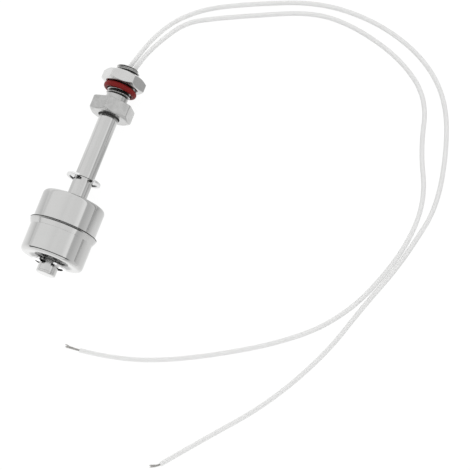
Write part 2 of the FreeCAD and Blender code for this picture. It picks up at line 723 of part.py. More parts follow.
def make_reed_lead_upper(model):
    """Make the upper lead: a round wire through the glass, flattened to a blade inside it."""
    body = model.body("reed_lead_upper")
    model.revolve(body, [
        (0, "cavity_top"), ("lead_radius", "cavity_top"), ("lead_radius", "upper_lead_end"),
        (0, "upper_lead_end"),
    ], "Lead", across="reed_offset")
    sketch = model.sketch(body, "XY_Plane", "Blade", height="cavity_top", across="reed_offset")
    draw_blade(model, sketch, "blade_inner", "blade_outer")
    model.pad(body, sketch, "upper_blade_length", "BladePad", downward=True)
    return model.keep(body)


def make_reed_lead_lower(model):
    """Make the lower lead: a blade inside the glass, then a round wire that turns back up."""
    body = model.body("reed_lead_lower")
    path = model.sketch(body, "XZ_Plane", "Path", across="reed_offset")
    draw_hook(model, path)
    section = model.sketch(body, "XY_Plane", "Section", height="cavity_low", across="reed_offset")
    model.circle(section, "lead_radius")
    pipe = body.newObject("PartDesign::AdditivePipe", "ReedLeadLowerPipe")
    pipe.Profile = section
    pipe.Spine = (path, ["Edge1", "Edge2", "Edge3"])
    model.document.recompute()
    sketch = model.sketch(body, "XY_Plane", "Blade", height="cavity_low", across="reed_offset")
    draw_blade(model, sketch, "blade_outer_far", "blade_inner_far")
    model.pad(body, sketch, "lower_blade_length", "BladePad")
    return model.keep(body)


def draw_hook(model, sketch):
    """Draw the lower lead's line: down from the glass, round half a circle and up to the wire."""
    top = model.value("cavity_low")
    bend = model.value("hook_height")
    end = model.value("hook_end")
    span = model.value("hook_span")
    radius = model.value("hook_radius")
    arc_circle = Part.Circle(FreeCAD.Vector(radius, bend, 0), FreeCAD.Vector(0, 0, 1), radius)
    sketch.addGeometry(Part.LineSegment(FreeCAD.Vector(0, top, 0), FreeCAD.Vector(0, bend, 0)), False)
    sketch.addGeometry(Part.ArcOfCircle(arc_circle, math.pi, 2 * math.pi), False)
    sketch.addGeometry(Part.LineSegment(FreeCAD.Vector(span, bend, 0), FreeCAD.Vector(span, end, 0)), False)
    sketch.addConstraint(Sketcher.Constraint("Coincident", 0, 2, 1, 1))
    sketch.addConstraint(Sketcher.Constraint("Coincident", 1, 2, 2, 1))
    model.bind(sketch, "DistanceX", 0, 1, 0)
    model.bind(sketch, "DistanceY", 0, 1, "cavity_low")
    model.bind(sketch, "DistanceX", 0, 2, 0)
    model.bind(sketch, "DistanceY", 0, 2, "hook_height")
    model.bind(sketch, "DistanceY", 1, 3, "hook_height")
    model.bind(sketch, "DistanceX", 2, 1, "hook_span")
    model.bind(sketch, "DistanceY", 2, 1, "hook_height")
    model.bind(sketch, "DistanceX", 2, 2, "hook_span")
    model.bind(sketch, "DistanceY", 2, 2, "hook_end")


def make_reed_sleeve(model):
    """Make the shrink sleeve over the reed contact's glass."""
    body = model.body("reed_sleeve")
    model.revolve(body, [
        ("shrink_bore_radius", "shrink_low"), ("shrink_radius", "shrink_low"),
        ("shrink_radius", "shrink_top"), ("shrink_bore_radius", "shrink_top"),
    ], across="reed_offset")
    return model.keep(body)


def make_solder_joints(model):
    """Make the two solder joints, each round a lead's end and a wire's bare end."""
    joints = []
    for name, across in (("upper", "reed_offset"), ("lower", "wire_offset")):
        low = name + "_solder_low"
        middle = name + "_solder_middle"
        top = name + "_solder_top"
        body = model.body("solder_joint_" + name)
        model.revolve(body, [
            ("lead_radius", low), ("solder_neck_radius", low),
            ("solder_radius", name + "_solder_shoulder_low"),
            ("solder_radius", name + "_solder_shoulder_top"), ("solder_neck_radius", top),
            ("conductor_radius", top), ("conductor_radius", middle), ("lead_radius", middle),
        ], across=across)
        joints.append(model.keep(body))
    return joints


def make_inner_wires(model):
    """Make each wire's stretch inside the stem, bare where it enters its solder joint."""
    wires = []
    for number, name, across in ((1, "upper", "reed_offset"), (2, "lower", "wire_offset")):
        middle = name + "_solder_middle"
        top = name + "_solder_top"
        body = model.body(f"inner_wire_{number}")
        model.revolve(body, [
            (0, middle), ("conductor_radius", middle), ("conductor_radius", top),
            ("wire_radius", top), ("wire_radius", "potting_face"), (0, "potting_face"),
        ], across=across)
        wires.append(model.keep(body))
    return wires


def make_potting(model):
    """Make the sealing compound in the neck, with both wires through it."""
    body = model.body("potting")
    sketch = model.sketch(body, "XY_Plane", "Section", height="potting_low")
    model.circle(sketch, "fitting_bore_radius")
    model.circle(sketch, "wire_radius", "reed_offset")
    model.circle(sketch, "wire_radius", "wire_offset")
    model.pad(body, sketch, "potting_depth", "SectionPad")
    return model.keep(body)


def rounded_path(points, share):
    """Join straight runs with tangent arcs, and return the wire, its length and its radii."""
    edges = []
    radii = []
    start = points[0]
    for index in range(1, len(points) - 1):
        corner = points[index]
        before = corner - points[index - 1]
        after = points[index + 1] - corner
        half_turn = before.getAngle(after) / 2
        reach = share * min(before.Length, after.Length)
        radius = reach / math.tan(half_turn)
        before.normalize()
        after.normalize()
        enter = corner - before * reach
        leave = corner + after * reach
        inward = after - before
        inward.normalize()
        middle = corner + inward * radius * (1 / math.cos(half_turn) - 1)
        edges.append(Part.LineSegment(start, enter).toShape())
        edges.append(Part.Arc(enter, middle, leave).toShape())
        radii.append(radius)
        start = leave
    edges.append(Part.LineSegment(start, points[-1]).toShape())
    wire = Part.Wire(edges)
    return wire, wire.Length, radii


def round_tube(points, radius, share):
    """Sweep a round section along a path of runs and arcs, and compare its volume."""
    path, length, radii = rounded_path(points, share)
    direction = points[1] - points[0]
    section = Part.Wire([Part.Circle(points[0], direction, radius).toShape()])
    shape = path.makePipeShell([section], True, False)
    expected = math.pi * radius ** 2 * length
    if abs(shape.Volume - expected) > VOLUME_TOLERANCE * expected:
        raise ValueError(f"tube volume {shape.Volume:.3f} is not {expected:.3f}")
    return shape, length, radii


def floor_point(model, point, radius_name):
    """Return a route point, lifted to lie on the surface by a named radius."""
    x, y, height = point
    lowest = model.value(radius_name) + model.value("rest_gap")
    return FreeCAD.Vector(x, y, max(height, lowest))


def exit_point(model, across):
    """Return the place where a wire leaves the sealing compound."""
    return model.placement.multVec(FreeCAD.Vector(model.value(across), 0, model.value("potting_face")))


def make_wire(model, number, across, route):
    """Make one wire's free length, from the sealing compound to the end of its insulation."""
    points = [exit_point(model, across)]
    points += [floor_point(model, point, "wire_radius") for point in route]
    shape, length, radii = round_tube(points, model.value("wire_radius"), BEND_SHARE)
    feature = model.document.addObject("Part::Feature", f"wire_{number}")
    feature.Label = f"wire_{number}"
    feature.Shape = shape
    print(f"wire_{number} length {length:.1f} radii {[round(radius, 1) for radius in radii]}")
    return model.keep(feature, FreeCAD.Placement())


def make_strand(model, number, route, end):
    """Make the bare strands past the insulation, straight at first and then bent aside."""
    before = floor_point(model, route[-2], "wire_radius")
    start = floor_point(model, route[-1], "wire_radius")
    last = floor_point(model, end, "wire_radius")
    along = start - before
    along.normalize()
    middle = start + along * (last - start).Length * STRAND_BEND
    radius = model.value("strand_diameter") / 2
    shape, length, radii = round_tube([start, middle, last], radius, BEND_SHARE)
    feature = model.document.addObject("Part::Feature", f"wire_{number}_strands")
    feature.Label = f"wire_{number}_strands"
    feature.Shape = shape
    print(f"wire_{number}_strands length {length:.1f} radii {[round(item, 1) for item in radii]}")
    return model.keep(feature, FreeCAD.Placement())


def check_document(model):
    """Stop if any object failed or any sub-part is empty or invalid."""
    model.document.recompute()
    for item in model.document.Objects:
        if "Invalid" in item.State or "Error" in item.State:
            raise ValueError(f"{item.Name} failed")
    for part in model.parts:
        if part.Shape.isNull() or not part.Shape.isValid():
            raise ValueError(f"{part.Label} has no valid shape")
        if len(part.Shape.Solids) != 1:
            raise ValueError(f"{part.Label} has {len(part.Shape.Solids)} solids")


def write_parts(model):
    """Write each sub-part to its own file."""
    os.makedirs("parts", exist_ok=True)
    for part in model.parts:
        part.Shape.exportStep(f"parts/{part.Label}.step")


def main():
    """Build the switch and write its sub-parts."""
    model = Model()
    make_hex_fitting(model)
    make_stem_tube(model)
    make_end_plug(model)
    make_lock_nut(model)
    make_seal_ring(model)
    make_stop_clip(model, "lower")
    make_stop_clip(model, "upper")
    make_float_shells(model)
    make_float_sleeve(model)
    make_float_magnet(model)
    make_magnet_collars(model)
    make_reed_glass(model)
    make_reed_lead_upper(model)
    make_reed_lead_lower(model)
    make_reed_sleeve(model)
    make_solder_joints(model)
    make_inner_wires(model)
    make_potting(model)
    make_wire(model, 1, "reed_offset", WIRE_1_POINTS)
    make_wire(model, 2, "wire_offset", WIRE_2_POINTS)
    make_strand(model, 1, WIRE_1_POINTS, WIRE_1_STRAND_END)
    make_strand(model, 2, WIRE_2_POINTS, WIRE_2_STRAND_END)
    check_document(model)
    write_parts(model)
    print(f"tilt {model.tilt:.4f} start {tuple(round(value, 4) for value in model.placement.Base)}")
    print(f"{len(model.parts)} sub-parts written")


main()
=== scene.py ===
"""Looks of a float level switch: steel stem and float, threaded fitting, lock nut, seal ring and wires."""

import json
import logging
import math
from dataclasses import dataclass
from enum import Enum

import bmesh
import bpy
import numpy as np
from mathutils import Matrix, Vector


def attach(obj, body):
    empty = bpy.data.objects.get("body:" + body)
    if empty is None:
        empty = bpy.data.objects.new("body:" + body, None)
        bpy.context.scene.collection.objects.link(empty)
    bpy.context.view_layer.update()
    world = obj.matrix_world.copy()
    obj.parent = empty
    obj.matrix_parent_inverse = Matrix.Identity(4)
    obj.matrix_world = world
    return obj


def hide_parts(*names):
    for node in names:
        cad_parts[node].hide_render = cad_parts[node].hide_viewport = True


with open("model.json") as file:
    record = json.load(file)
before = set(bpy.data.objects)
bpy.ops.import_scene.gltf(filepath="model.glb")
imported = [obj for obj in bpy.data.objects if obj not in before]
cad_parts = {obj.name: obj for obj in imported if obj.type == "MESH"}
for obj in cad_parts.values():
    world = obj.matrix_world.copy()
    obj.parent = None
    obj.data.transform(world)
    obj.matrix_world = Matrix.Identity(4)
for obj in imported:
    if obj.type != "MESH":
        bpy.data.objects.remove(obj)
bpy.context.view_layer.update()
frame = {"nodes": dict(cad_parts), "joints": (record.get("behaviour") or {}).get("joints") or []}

MM = 0.001
FULL_TURN = 2 * math.pi
MOST_CUT = 0.42
SUPPORT = (0.5, 0.06)
LOG = logging.getLogger("float_switch")

Outline = list[tuple[float, float]]
Stops = tuple[tuple[float, float], ...]
Feed = bpy.types.NodeSocket | float | tuple[float, ...] | None


class Body(Enum):
    """The bodies that pieces ride on."""

    STEM = "stem"
    FLOAT = "float"
    RING = "ring"
    NUT = "nut"


@dataclass(frozen=True)
class StemLine:
    """The stem's axis in the row frame. Heights run along it from the closed end, in mm."""

    start: np.ndarray
    across: np.ndarray
    down: np.ndarray
    along: np.ndarray

    @classmethod
    def from_joints(cls, joints: list[dict], name: str, height: float) -> "StemLine":
        """Find the axis from a joint that turns about it.

        Args:
            joints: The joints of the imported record.
            name: The joint's name.
            height: Height of the joint's point along the stem, in mm.

        Returns:
            The stem's line.
        """
        joint = next(item for item in joints if item["name"] == name)
        along = np.array(joint["axis"], float)
        along /= np.linalg.norm(along)
        across = np.array([1.0, 0.0, 0.0])
        down = np.cross(along, across)
        start = np.array(joint["pos_m"], float) - along * height * MM
        return cls(start, across, down, along)

    def place(self, x: np.ndarray, y: np.ndarray, height: np.ndarray) -> np.ndarray:
        """Point = start + x across + y down + height along, for sizes in mm and points in metres.

        Args:
            x: Distances across the stem.
            y: Distances below the stem's axis, square to it.
            height: Heights along the stem.

        Returns:
            The points, with one axis more than the inputs.
        """
        x, y, height = np.broadcast_arrays(x, y, height)
        moved = x[..., None] * self.across + y[..., None] * self.down + height[..., None] * self.along
        return self.start + moved * MM

    def turned(self, profile: np.ndarray, angles: np.ndarray) -> np.ndarray:
        """Point = start + r cos(a) across + r sin(a) down + h along, for a profile (r, h) at each angle a.

        Args:
            profile: Radii and heights in mm, shaped rows x 2 x angles, or rows x 2 x 1 for a round piece.
            angles: The angles, in radians.

        Returns:
            A grid of points, rows x angles x 3, in metres.
        """
        radius = profile[:, 0, :]
        height = profile[:, 1, :]
        return self.place(radius * np.cos(angles), radius * np.sin(angles), height)


LINE = StemLine.from_joints(frame["joints"], "nut_turn", 85.5)


def smooth(low: float, high: float, value: np.ndarray) -> np.ndarray:
    """Rise from 0 at low to 1 at high as t^2 (3 - 2t), where t is the share of the way."""
    share = np.clip((value - low) / (high - low), 0, 1)
    return share * share * (3 - 2 * share)


def ring_angles(count: int, turn: float = 0.0) -> np.ndarray:
    """Angles spaced evenly round the stem, from a first one given in degrees."""
    return math.radians(turn) + np.arange(count) * FULL_TURN / count


def level(radius: float | np.ndarray, height: float | np.ndarray, angles: np.ndarray) -> np.ndarray:
    """Radius and height of one corner of an outline at each angle, shaped 2 x angles."""
    return np.stack(np.broadcast_arrays(radius, height, angles)[:2])


def layers(radii: np.ndarray, heights: np.ndarray) -> np.ndarray:
    """Radius and height of many rows of points at each angle, shaped rows x 2 x angles."""
    return np.stack(np.broadcast_arrays(radii, heights), axis=1)


def eased(corners: np.ndarray, cuts: np.ndarray, steps: int = 4, closed: bool = True) -> np.ndarray:
    """Round the corners of an outline, or of one outline for each angle.

    Each corner P gives way to the curve (1-t)^2 A + 2t(1-t) P + t^2 B, where A and B lie the corner's cut
    before and after it, at most a set share of the shorter run. One point more on each side keeps the
    straight runs flat. It lies further out by a share of the cut, or of the run where that is less.

    Args:
        corners: The corners, rows x 2 x angles, in mm.
        cuts: How far from each corner its curve starts, in mm.
        steps: Number of runs in each curve.
        closed: Whether the last corner joins the first one. If not, both stay sharp.

    Returns:
        The rounded outline, rows x 2 x angles.
    """
    back = np.roll(corners, 1, axis=0) - corners
    ahead = np.roll(corners, -1, axis=0) - corners
    back_length = np.maximum(np.linalg.norm(back, axis=1, keepdims=True), 1e-9)
    ahead_length = np.maximum(np.linalg.norm(ahead, axis=1, keepdims=True), 1e-9)
    room = np.minimum(back_length, ahead_length)
    reach = np.minimum(np.asarray(cuts, float)[:, None, None], MOST_CUT * room)
    support = reach + np.minimum(SUPPORT[0] * reach, SUPPORT[1] * room)
    back /= back_length
    ahead /= ahead_length
    before = corners + back * reach
    after = corners + ahead * reach
    rows = [corners + back * support]
    for t in np.linspace(0, 1, steps + 1):
        rows.append((1 - t) ** 2 * before + 2 * t * (1 - t) * corners + t * t * after)
    rows.append(corners + ahead * support)
    curve = np.stack(rows, axis=1)
    if closed:
        return curve.reshape(-1, 2, corners.shape[2])
    inner = curve[1:-1].reshape(-1, 2, corners.shape[2])
    return np.concatenate([corners[:1], inner, corners[-1:]])


def round_outline(pairs: Outline, cuts: list[float], steps: int = 4, closed: bool = True) -> np.ndarray:
    """Round the corners of a plain turned outline.

    Args:
        pairs: Radius and height of each corner, in mm.
        cuts: The cut of each corner, in mm.
        steps: Number of runs in each curve.
        closed: Whether the last corner joins the first one.

    Returns:
        The outline, rows x 2 x 1.
    """
    return eased(np.array(pairs, float)[:, :, None], np.array(cuts, float), steps, closed)


class Surface:
    """A mesh piece made of grids of points."""

    merge = 1e-7
    most_smooth_corners = 5

    def __init__(self, name: str) -> None:
        """Start an empty piece."""
        self.name = name
        self.points: list[np.ndarray] = []
        self.quads: list[np.ndarray] = []
        self.count = 0

    def add(self, grid: np.ndarray, close_rows: bool = True, close_columns: bool = True) -> "Surface":
        """Add a grid of points, with a quad between each four neighbours.

        Args:
            grid: Points in metres, rows x columns x 3.
            close_rows: Whether the last row joins the first one.
            close_columns: Whether the last column joins the first one.

        Returns:
            The piece itself.
        """
        rows, columns = grid.shape[:2]
        index = self.count + np.arange(rows * columns).reshape(rows, columns)
        low = index if close_rows else index[:-1]
        high = np.roll(index, -1, axis=0) if close_rows else index[1:]
        if not close_columns:
            quads = (low[:, :-1], low[:, 1:], high[:, 1:], high[:, :-1])
        else:
            quads = (low, np.roll(low, -1, axis=1), np.roll(high, -1, axis=1), high)
        self.points.append(grid.reshape(-1, 3))
        self.quads.append(np.stack(quads, axis=-1).reshape(-1, 4))
        self.count += rows * columns
        return self

    def finish(self, cap: bool = False) -> bpy.types.Object:
        """Make the object, with doubled points merged, ends capped if asked and faces outwards.

        Args:
            cap: Whether open ends are closed by flat faces.

        Returns:
            The object, at the origin and in the scene.
        """
        points = np.concatenate(self.points)
        quads = np.concatenate(self.quads)
        mesh = bpy.data.meshes.new(self.name)
        mesh.vertices.add(len(points))
        mesh.vertices.foreach_set("co", points.astype(np.float32).ravel())
        mesh.loops.add(quads.size)
        mesh.loops.foreach_set("vertex_index", quads.astype(np.int32).ravel())
        mesh.polygons.add(len(quads))
        mesh.polygons.foreach_set("loop_start", np.arange(0, quads.size, 4, dtype=np.int32))
        mesh.update(calc_edges=True)
        work = bmesh.new()
        work.from_mesh(mesh)
        bmesh.ops.remove_doubles(work, verts=work.verts, dist=self.merge)
        bmesh.ops.dissolve_degenerate(work, edges=work.edges, dist=self.merge)
        if cap:
            open_edges = [edge for edge in work.edges if edge.is_boundary]
            bmesh.ops.holes_fill(work, edges=open_edges)
        bmesh.ops.recalc_face_normals(work, faces=work.faces)
        for face in work.faces:
            face.smooth = len(face.verts) <= self.most_smooth_corners
        work.to_mesh(mesh)
        work.free()
        piece = bpy.data.objects.new(self.name, mesh)
        bpy.context.scene.collection.objects.link(piece)
        return piece


class Nodes:
    """A material's or a group's node tree, with short ways to add and join nodes."""

    def __init__(self, tree: bpy.types.NodeTree) -> None:
        """Keep the tree."""
        self.tree = tree

    def add(self, kind: str, **settings: object) -> bpy.types.Node:
        """Add a node and set its properties.

        Args:
            kind: The node's type.
            settings: Its properties.

        Returns:
            The node.
        """
        node = self.tree.nodes.new(kind)
        for name, value in settings.items():
            setattr(node, name, value)
        return node

    def join(self, source: bpy.types.NodeSocket, target: bpy.types.NodeSocket) -> None:
        """Join two sockets."""
        self.tree.links.new(source, target)

    def value(self, operation: str, first: Feed, second: Feed = None,
              third: Feed = None) -> bpy.types.NodeSocket:
        """Add a Math node.

        Args:
            operation: The node's operation.
            first: A socket or a number.
            second: A socket or a number.
            third: A socket or a number.

        Returns:
            The node's result.
        """
        node = self.add("ShaderNodeMath", operation=operation)
        for socket, given in zip(node.inputs, (first, second, third)):
            self.feed(given, socket)
        return node.outputs[0]

    def feed(self, given: Feed, socket: bpy.types.NodeSocket) -> None:
        """Join a socket, or set a number or colour, or leave the input alone for None.

        Args:
            given: What the input gets.
            socket: The input.
        """
        if isinstance(given, bpy.types.NodeSocket):
            self.join(given, socket)
        elif given is not None:
            socket.default_value = given

    def ramp(self, factor: bpy.types.NodeSocket, stops: Stops, span: float,
             peak: float = 1.0) -> bpy.types.NodeSocket:
        """Turn a value into grey by the given stops of place and brightness.

        Args:
            factor: The value that is looked up, between 0 and 1.
            stops: Place and brightness of each stop, in order. Place 0 belongs to the value 0.5.
            span: How far the places reach from the value 0 to the value 1.
            peak: The brightness that is shown as 1.

        Returns:
            The colour socket.
        """
        node = self.add("ShaderNodeValToRGB")
        node.color_ramp.interpolation = "LINEAR"
        elements = node.color_ramp.elements
        while len(elements) < len(stops):
            elements.new(1.0)
        for element, (place, bright) in zip(elements, stops):
            element.position = place / span + 0.5
            element.color = (*3 * (bright / peak,), 1.0)
        self.join(factor, node.inputs["Fac"])
        return node.outputs["Color"]

    def mix(self, share: Feed, first: Feed, second: Feed) -> bpy.types.NodeSocket:
        """Mix two colours.

        Args:
            share: Share of the second colour, a socket or a number.
            first: A socket or a colour.
            second: A socket or a colour.

        Returns:
            The mixed colour.
        """
        node = self.add("ShaderNodeMix", data_type="RGBA")
        self.feed(share, node.inputs[0])
        self.feed(first, node.inputs[6])
        self.feed(second, node.inputs[7])
        return node.outputs[2]

    def noise(self, vector: bpy.types.NodeSocket, scale: Feed, detail: float = 2.0,
              roughness: float = 0.5) -> bpy.types.NodeSocket:
        """Add a noise texture.

        Args:
            vector: The coordinates.
            scale: The noise's scale, a socket or a number.
            detail: Its detail.
            roughness: Its roughness.

        Returns:
            The noise's value.
        """
        node = self.add("ShaderNodeTexNoise")
        self.join(vector, node.inputs["Vector"])
        self.feed(scale, node.inputs["Scale"])
        node.inputs["Detail"].default_value = detail
        node.inputs["Roughness"].default_value = roughness
        return node.outputs["Fac"]

    def spread(self, value: Feed, start: Feed, end: Feed, low: Feed = None, high: Feed = None,
               shape: str = "LINEAR") -> bpy.types.NodeSocket:
        """Add a clamped Map Range node.

        Args:
            value: The value that is looked up.
            start: The value that gives the low result.
            end: The value that gives the high result.
            low: The low result, 0 if not given.
            high: The high result, 1 if not given.
            shape: The node's way between them.

        Returns:
            The result.
        """
        node = self.add("ShaderNodeMapRange", clamp=True, interpolation_type=shape)
        for socket, given in zip(node.inputs, (value, start, end, low, high)):
            self.feed(given, socket)
        return node.outputs["Result"]

    def group(self, tree: bpy.types.NodeTree, **values: float) -> bpy.types.NodeSocket:
        """Place a shared group.

        Args:
            tree: The group.
            values: Its input values, by their names.

        Returns:
            Its one output.
        """
        node = self.add("ShaderNodeGroup", node_tree=tree)
        for label, value in values.items():
            node.inputs[label].default_value = value
        return node.outputs[0]


class Effects:
    """The shader groups that several materials share."""

    # How far the painted shade fades out past each of its heights, in metres.
    painted_shade_fade = 0.00012
    haze_fineness = 9.0
    haze_span = (0.3, 0.7)

    def __init__(self) -> None:
        """Build the groups."""
        self.turning_marks = self.make_turning_marks()
        self.handling_haze = self.make_handling_haze()
        self.painted_recess_shade = self.make_painted_recess_shade()

    @staticmethod
    def group(name: str, output: str, **inputs: float) -> tuple[Nodes, bpy.types.Node, bpy.types.Node]:
        """Start a group with one output value.

        Args:
            name: The group's name.
            output: The output's name.
            inputs: Default of each input value, by its name.

        Returns:
            Its nodes, its input node and its output node.
        """
        tree = bpy.data.node_groups.new(name, "ShaderNodeTree")
        for label, default in inputs.items():
            socket = tree.interface.new_socket(label, in_out="INPUT", socket_type="NodeSocketFloat")
            socket.default_value = default
        tree.interface.new_socket(output, in_out="OUTPUT", socket_type="NodeSocketFloat")
        nodes = Nodes(tree)
        return nodes, nodes.add("NodeGroupInput"), nodes.add("NodeGroupOutput")

    @staticmethod
    def stem_place(nodes: Nodes) -> tuple[bpy.types.NodeSocket, ...]:
        """Add coordinates whose Z runs along the stem and whose middle is its closed end.

        Args:
            nodes: The tree that they are added to.

        Returns:
            X, Y, Z and the distance from the stem's axis, in metres.
        """
        place = nodes.add("ShaderNodeTexCoord")
        centre = nodes.add("ShaderNodeMapping", vector_type="POINT")
        centre.inputs["Location"].default_value = [-value for value in LINE.start]
        turn = nodes.add("ShaderNodeMapping", vector_type="POINT")
        tilt = math.asin(-LINE.along[2])
        turn.inputs["Rotation"].default_value = (math.pi / 2 + tilt, 0.0, 0.0)
        nodes.join(place.outputs["Object"], centre.inputs["Vector"])
        nodes.join(centre.outputs["Vector"], turn.inputs["Vector"])
        parts = nodes.add("ShaderNodeSeparateXYZ")
        nodes.join(turn.outputs["Vector"], parts.inputs[0])
        x, y, height = parts.outputs
        square = nodes.value("ADD", nodes.value("MULTIPLY", x, x), nodes.value("MULTIPLY", y, y))
        return x, y, height, nodes.value("SQRT", square)

    def make_turning_marks(self) -> bpy.types.NodeTree:
        """Make the lines that a lathe or a polishing wheel leaves round the stem.

        Noise is read at (distance from the axis + height) times the fineness, and at the plain place times a
        small number, so that each line runs round the stem and slowly fades in and out.

        Returns:
            The group, with inputs Fineness and Fade, and output Height.
        """
        nodes, given, result = self.group("turning_marks", "Height", Fineness=9000.0, Fade=90.0)
        x, y, height, radius = self.stem_place(nodes)
        joined = nodes.add("ShaderNodeCombineXYZ")
        runs = (nodes.value("ADD", radius, height), x, y)
        for socket, run, scale in zip(joined.inputs, runs, ("Fineness", "Fade", "Fade")):
            nodes.join(nodes.value("MULTIPLY", run, given.outputs[scale]), socket)
        nodes.join(nodes.noise(joined.outputs[0], 1.0, 3.0, 0.6), result.inputs["Height"])
        return nodes.tree

    def make_handling_haze(self) -> bpy.types.NodeTree:
        """Make the soft patches where a surface has been handled.

        Two noises of different size are multiplied, and the result is spread between the two given values.

        Returns:
            The group, with inputs Size, Low and High, and output Roughness.
        """
        nodes, given, result = self.group("handling_haze", "Roughness", Size=60.0, Low=0.1, High=0.2)
        place = nodes.add("ShaderNodeTexCoord").outputs["Object"]
        broad = nodes.noise(place, given.outputs["Size"], 3.0)
        fine = nodes.noise(place, nodes.value("MULTIPLY", given.outputs["Size"], self.haze_fineness))
        patch = nodes.value("MULTIPLY", broad, nodes.value("ADD", fine, 0.5))
        rough = nodes.spread(patch, *self.haze_span, given.outputs["Low"], given.outputs["High"])
        nodes.join(rough, result.inputs["Roughness"])
        return nodes.tree

    def make_painted_recess_shade(self) -> bpy.types.NodeTree:
        """Make a mask of painted shade near the stem's line: thread grooves, clip walls, the float's tube.

        Its share grows from the bare radius in to the full one, and it ends within the fade past each height.

        Returns:
            The group, with inputs Bare, Full, Low and High in metres, and output Mask.
        """
        nodes, given, result = self.group("painted_recess_shade", "Mask", Bare=0.00485, Full=0.00445, Low=0.0785,
                                          High=0.0902)
        _, _, height, radius = self.stem_place(nodes)
        low, high = given.outputs["Low"], given.outputs["High"]
        share = nodes.spread(radius, given.outputs["Bare"], given.outputs["Full"])
        for limit, side in ((low, "SUBTRACT"), (high, "ADD")):
            inside = nodes.spread(height, nodes.value(side, limit, self.painted_shade_fade), limit)
            share = nodes.value("MULTIPLY", share, inside)
        nodes.join(share, result.inputs["Mask"])
        return nodes.tree


@dataclass(frozen=True)
class Finish:
    """One material, and the record's slot that it belongs to.

    Its roughness drifts between low and high in patches, and its colour between colour and shade in finer
    ones. Its relief is turning marks of some fineness and fade, or else a grain, with a depth in metres; all
    four scales are per metre. Its painted shade darkens it by a share, from the bare to the full radius and
    between two heights.
    """

    name: str
    slot: str
    colour: tuple[float, float, float]
    shade: tuple[float, float, float]
    metallic: float
    low: float
    high: float
    patch: float = 60.0
    tone_patch: float = 2.5
    fineness: float = 0.0
    fade: float = 90.0
    depth: float = 0.0
    grain: float = 0.0
    specular: float = 0.5
    coat: float = 0.0
    clear: float = 0.0
    painted_shade: float = 0.0
    painted_shade_span: tuple[float, float, float, float] = (0.00485, 0.00445, 0.0785, 0.0902)
    painted_shade_colour: tuple[float, float, float] = (0.012, 0.012, 0.011)

    def make(self, effects: Effects) -> bpy.types.Material:
        """Make the material.

        Args:
            effects: The shared shader groups.

        Returns:
            The material.
        """
        material = bpy.data.materials.new(self.name)
        material.use_nodes = True
        nodes = Nodes(material.node_tree)
        shader = material.node_tree.nodes["Principled BSDF"]
        shader.inputs["Metallic"].default_value = self.metallic
        shader.inputs["Specular IOR Level"].default_value = self.specular
        shader.inputs["Coat Weight"].default_value = self.coat
        shader.inputs["Coat Roughness"].default_value = self.low
        shader.inputs["Transmission Weight"].default_value = self.clear
        haze = nodes.group(effects.handling_haze, Size=self.patch, Low=self.low, High=self.high)
        nodes.join(haze, shader.inputs["Roughness"])
        place = nodes.add("ShaderNodeTexCoord").outputs["Object"]
        tone = nodes.noise(place, self.patch * self.tone_patch, 4.0)
        shade = nodes.mix(tone, (*self.colour, 1.0), (*self.shade, 1.0))
        # Painted shade: mix towards the near-black colour within the span's radii and heights.
        if self.painted_shade:
            limits = dict(zip(("Bare", "Full", "Low", "High"), self.painted_shade_span))
            mask = nodes.group(effects.painted_recess_shade, **limits)
            shade = nodes.mix(nodes.value("MULTIPLY", mask, self.painted_shade), shade, (*self.painted_shade_colour, 1.0))
        nodes.join(shade, shader.inputs["Base Color"])
        if self.depth:
            height = self.relief(nodes, effects, place)
            bump = nodes.add("ShaderNodeBump")
            bump.inputs["Strength"].default_value = 1.0
            bump.inputs["Distance"].default_value = self.depth
            nodes.join(height, bump.inputs["Height"])
            nodes.join(bump.outputs["Normal"], shader.inputs["Normal"])
        return material

    def relief(self, nodes: Nodes, effects: Effects, place: bpy.types.NodeSocket) -> bpy.types.NodeSocket:
        """Add the height of the surface's detail: turning marks, or a fine grain.

        Args:
            nodes: The material's nodes.
            effects: The shared shader groups.
            place: The piece's own coordinates.

        Returns:
            The height.
        """
        if self.fineness:
            return nodes.group(effects.turning_marks, Fineness=self.fineness, Fade=self.fade)
        return nodes.noise(place, self.grain, 4.0, 0.6)


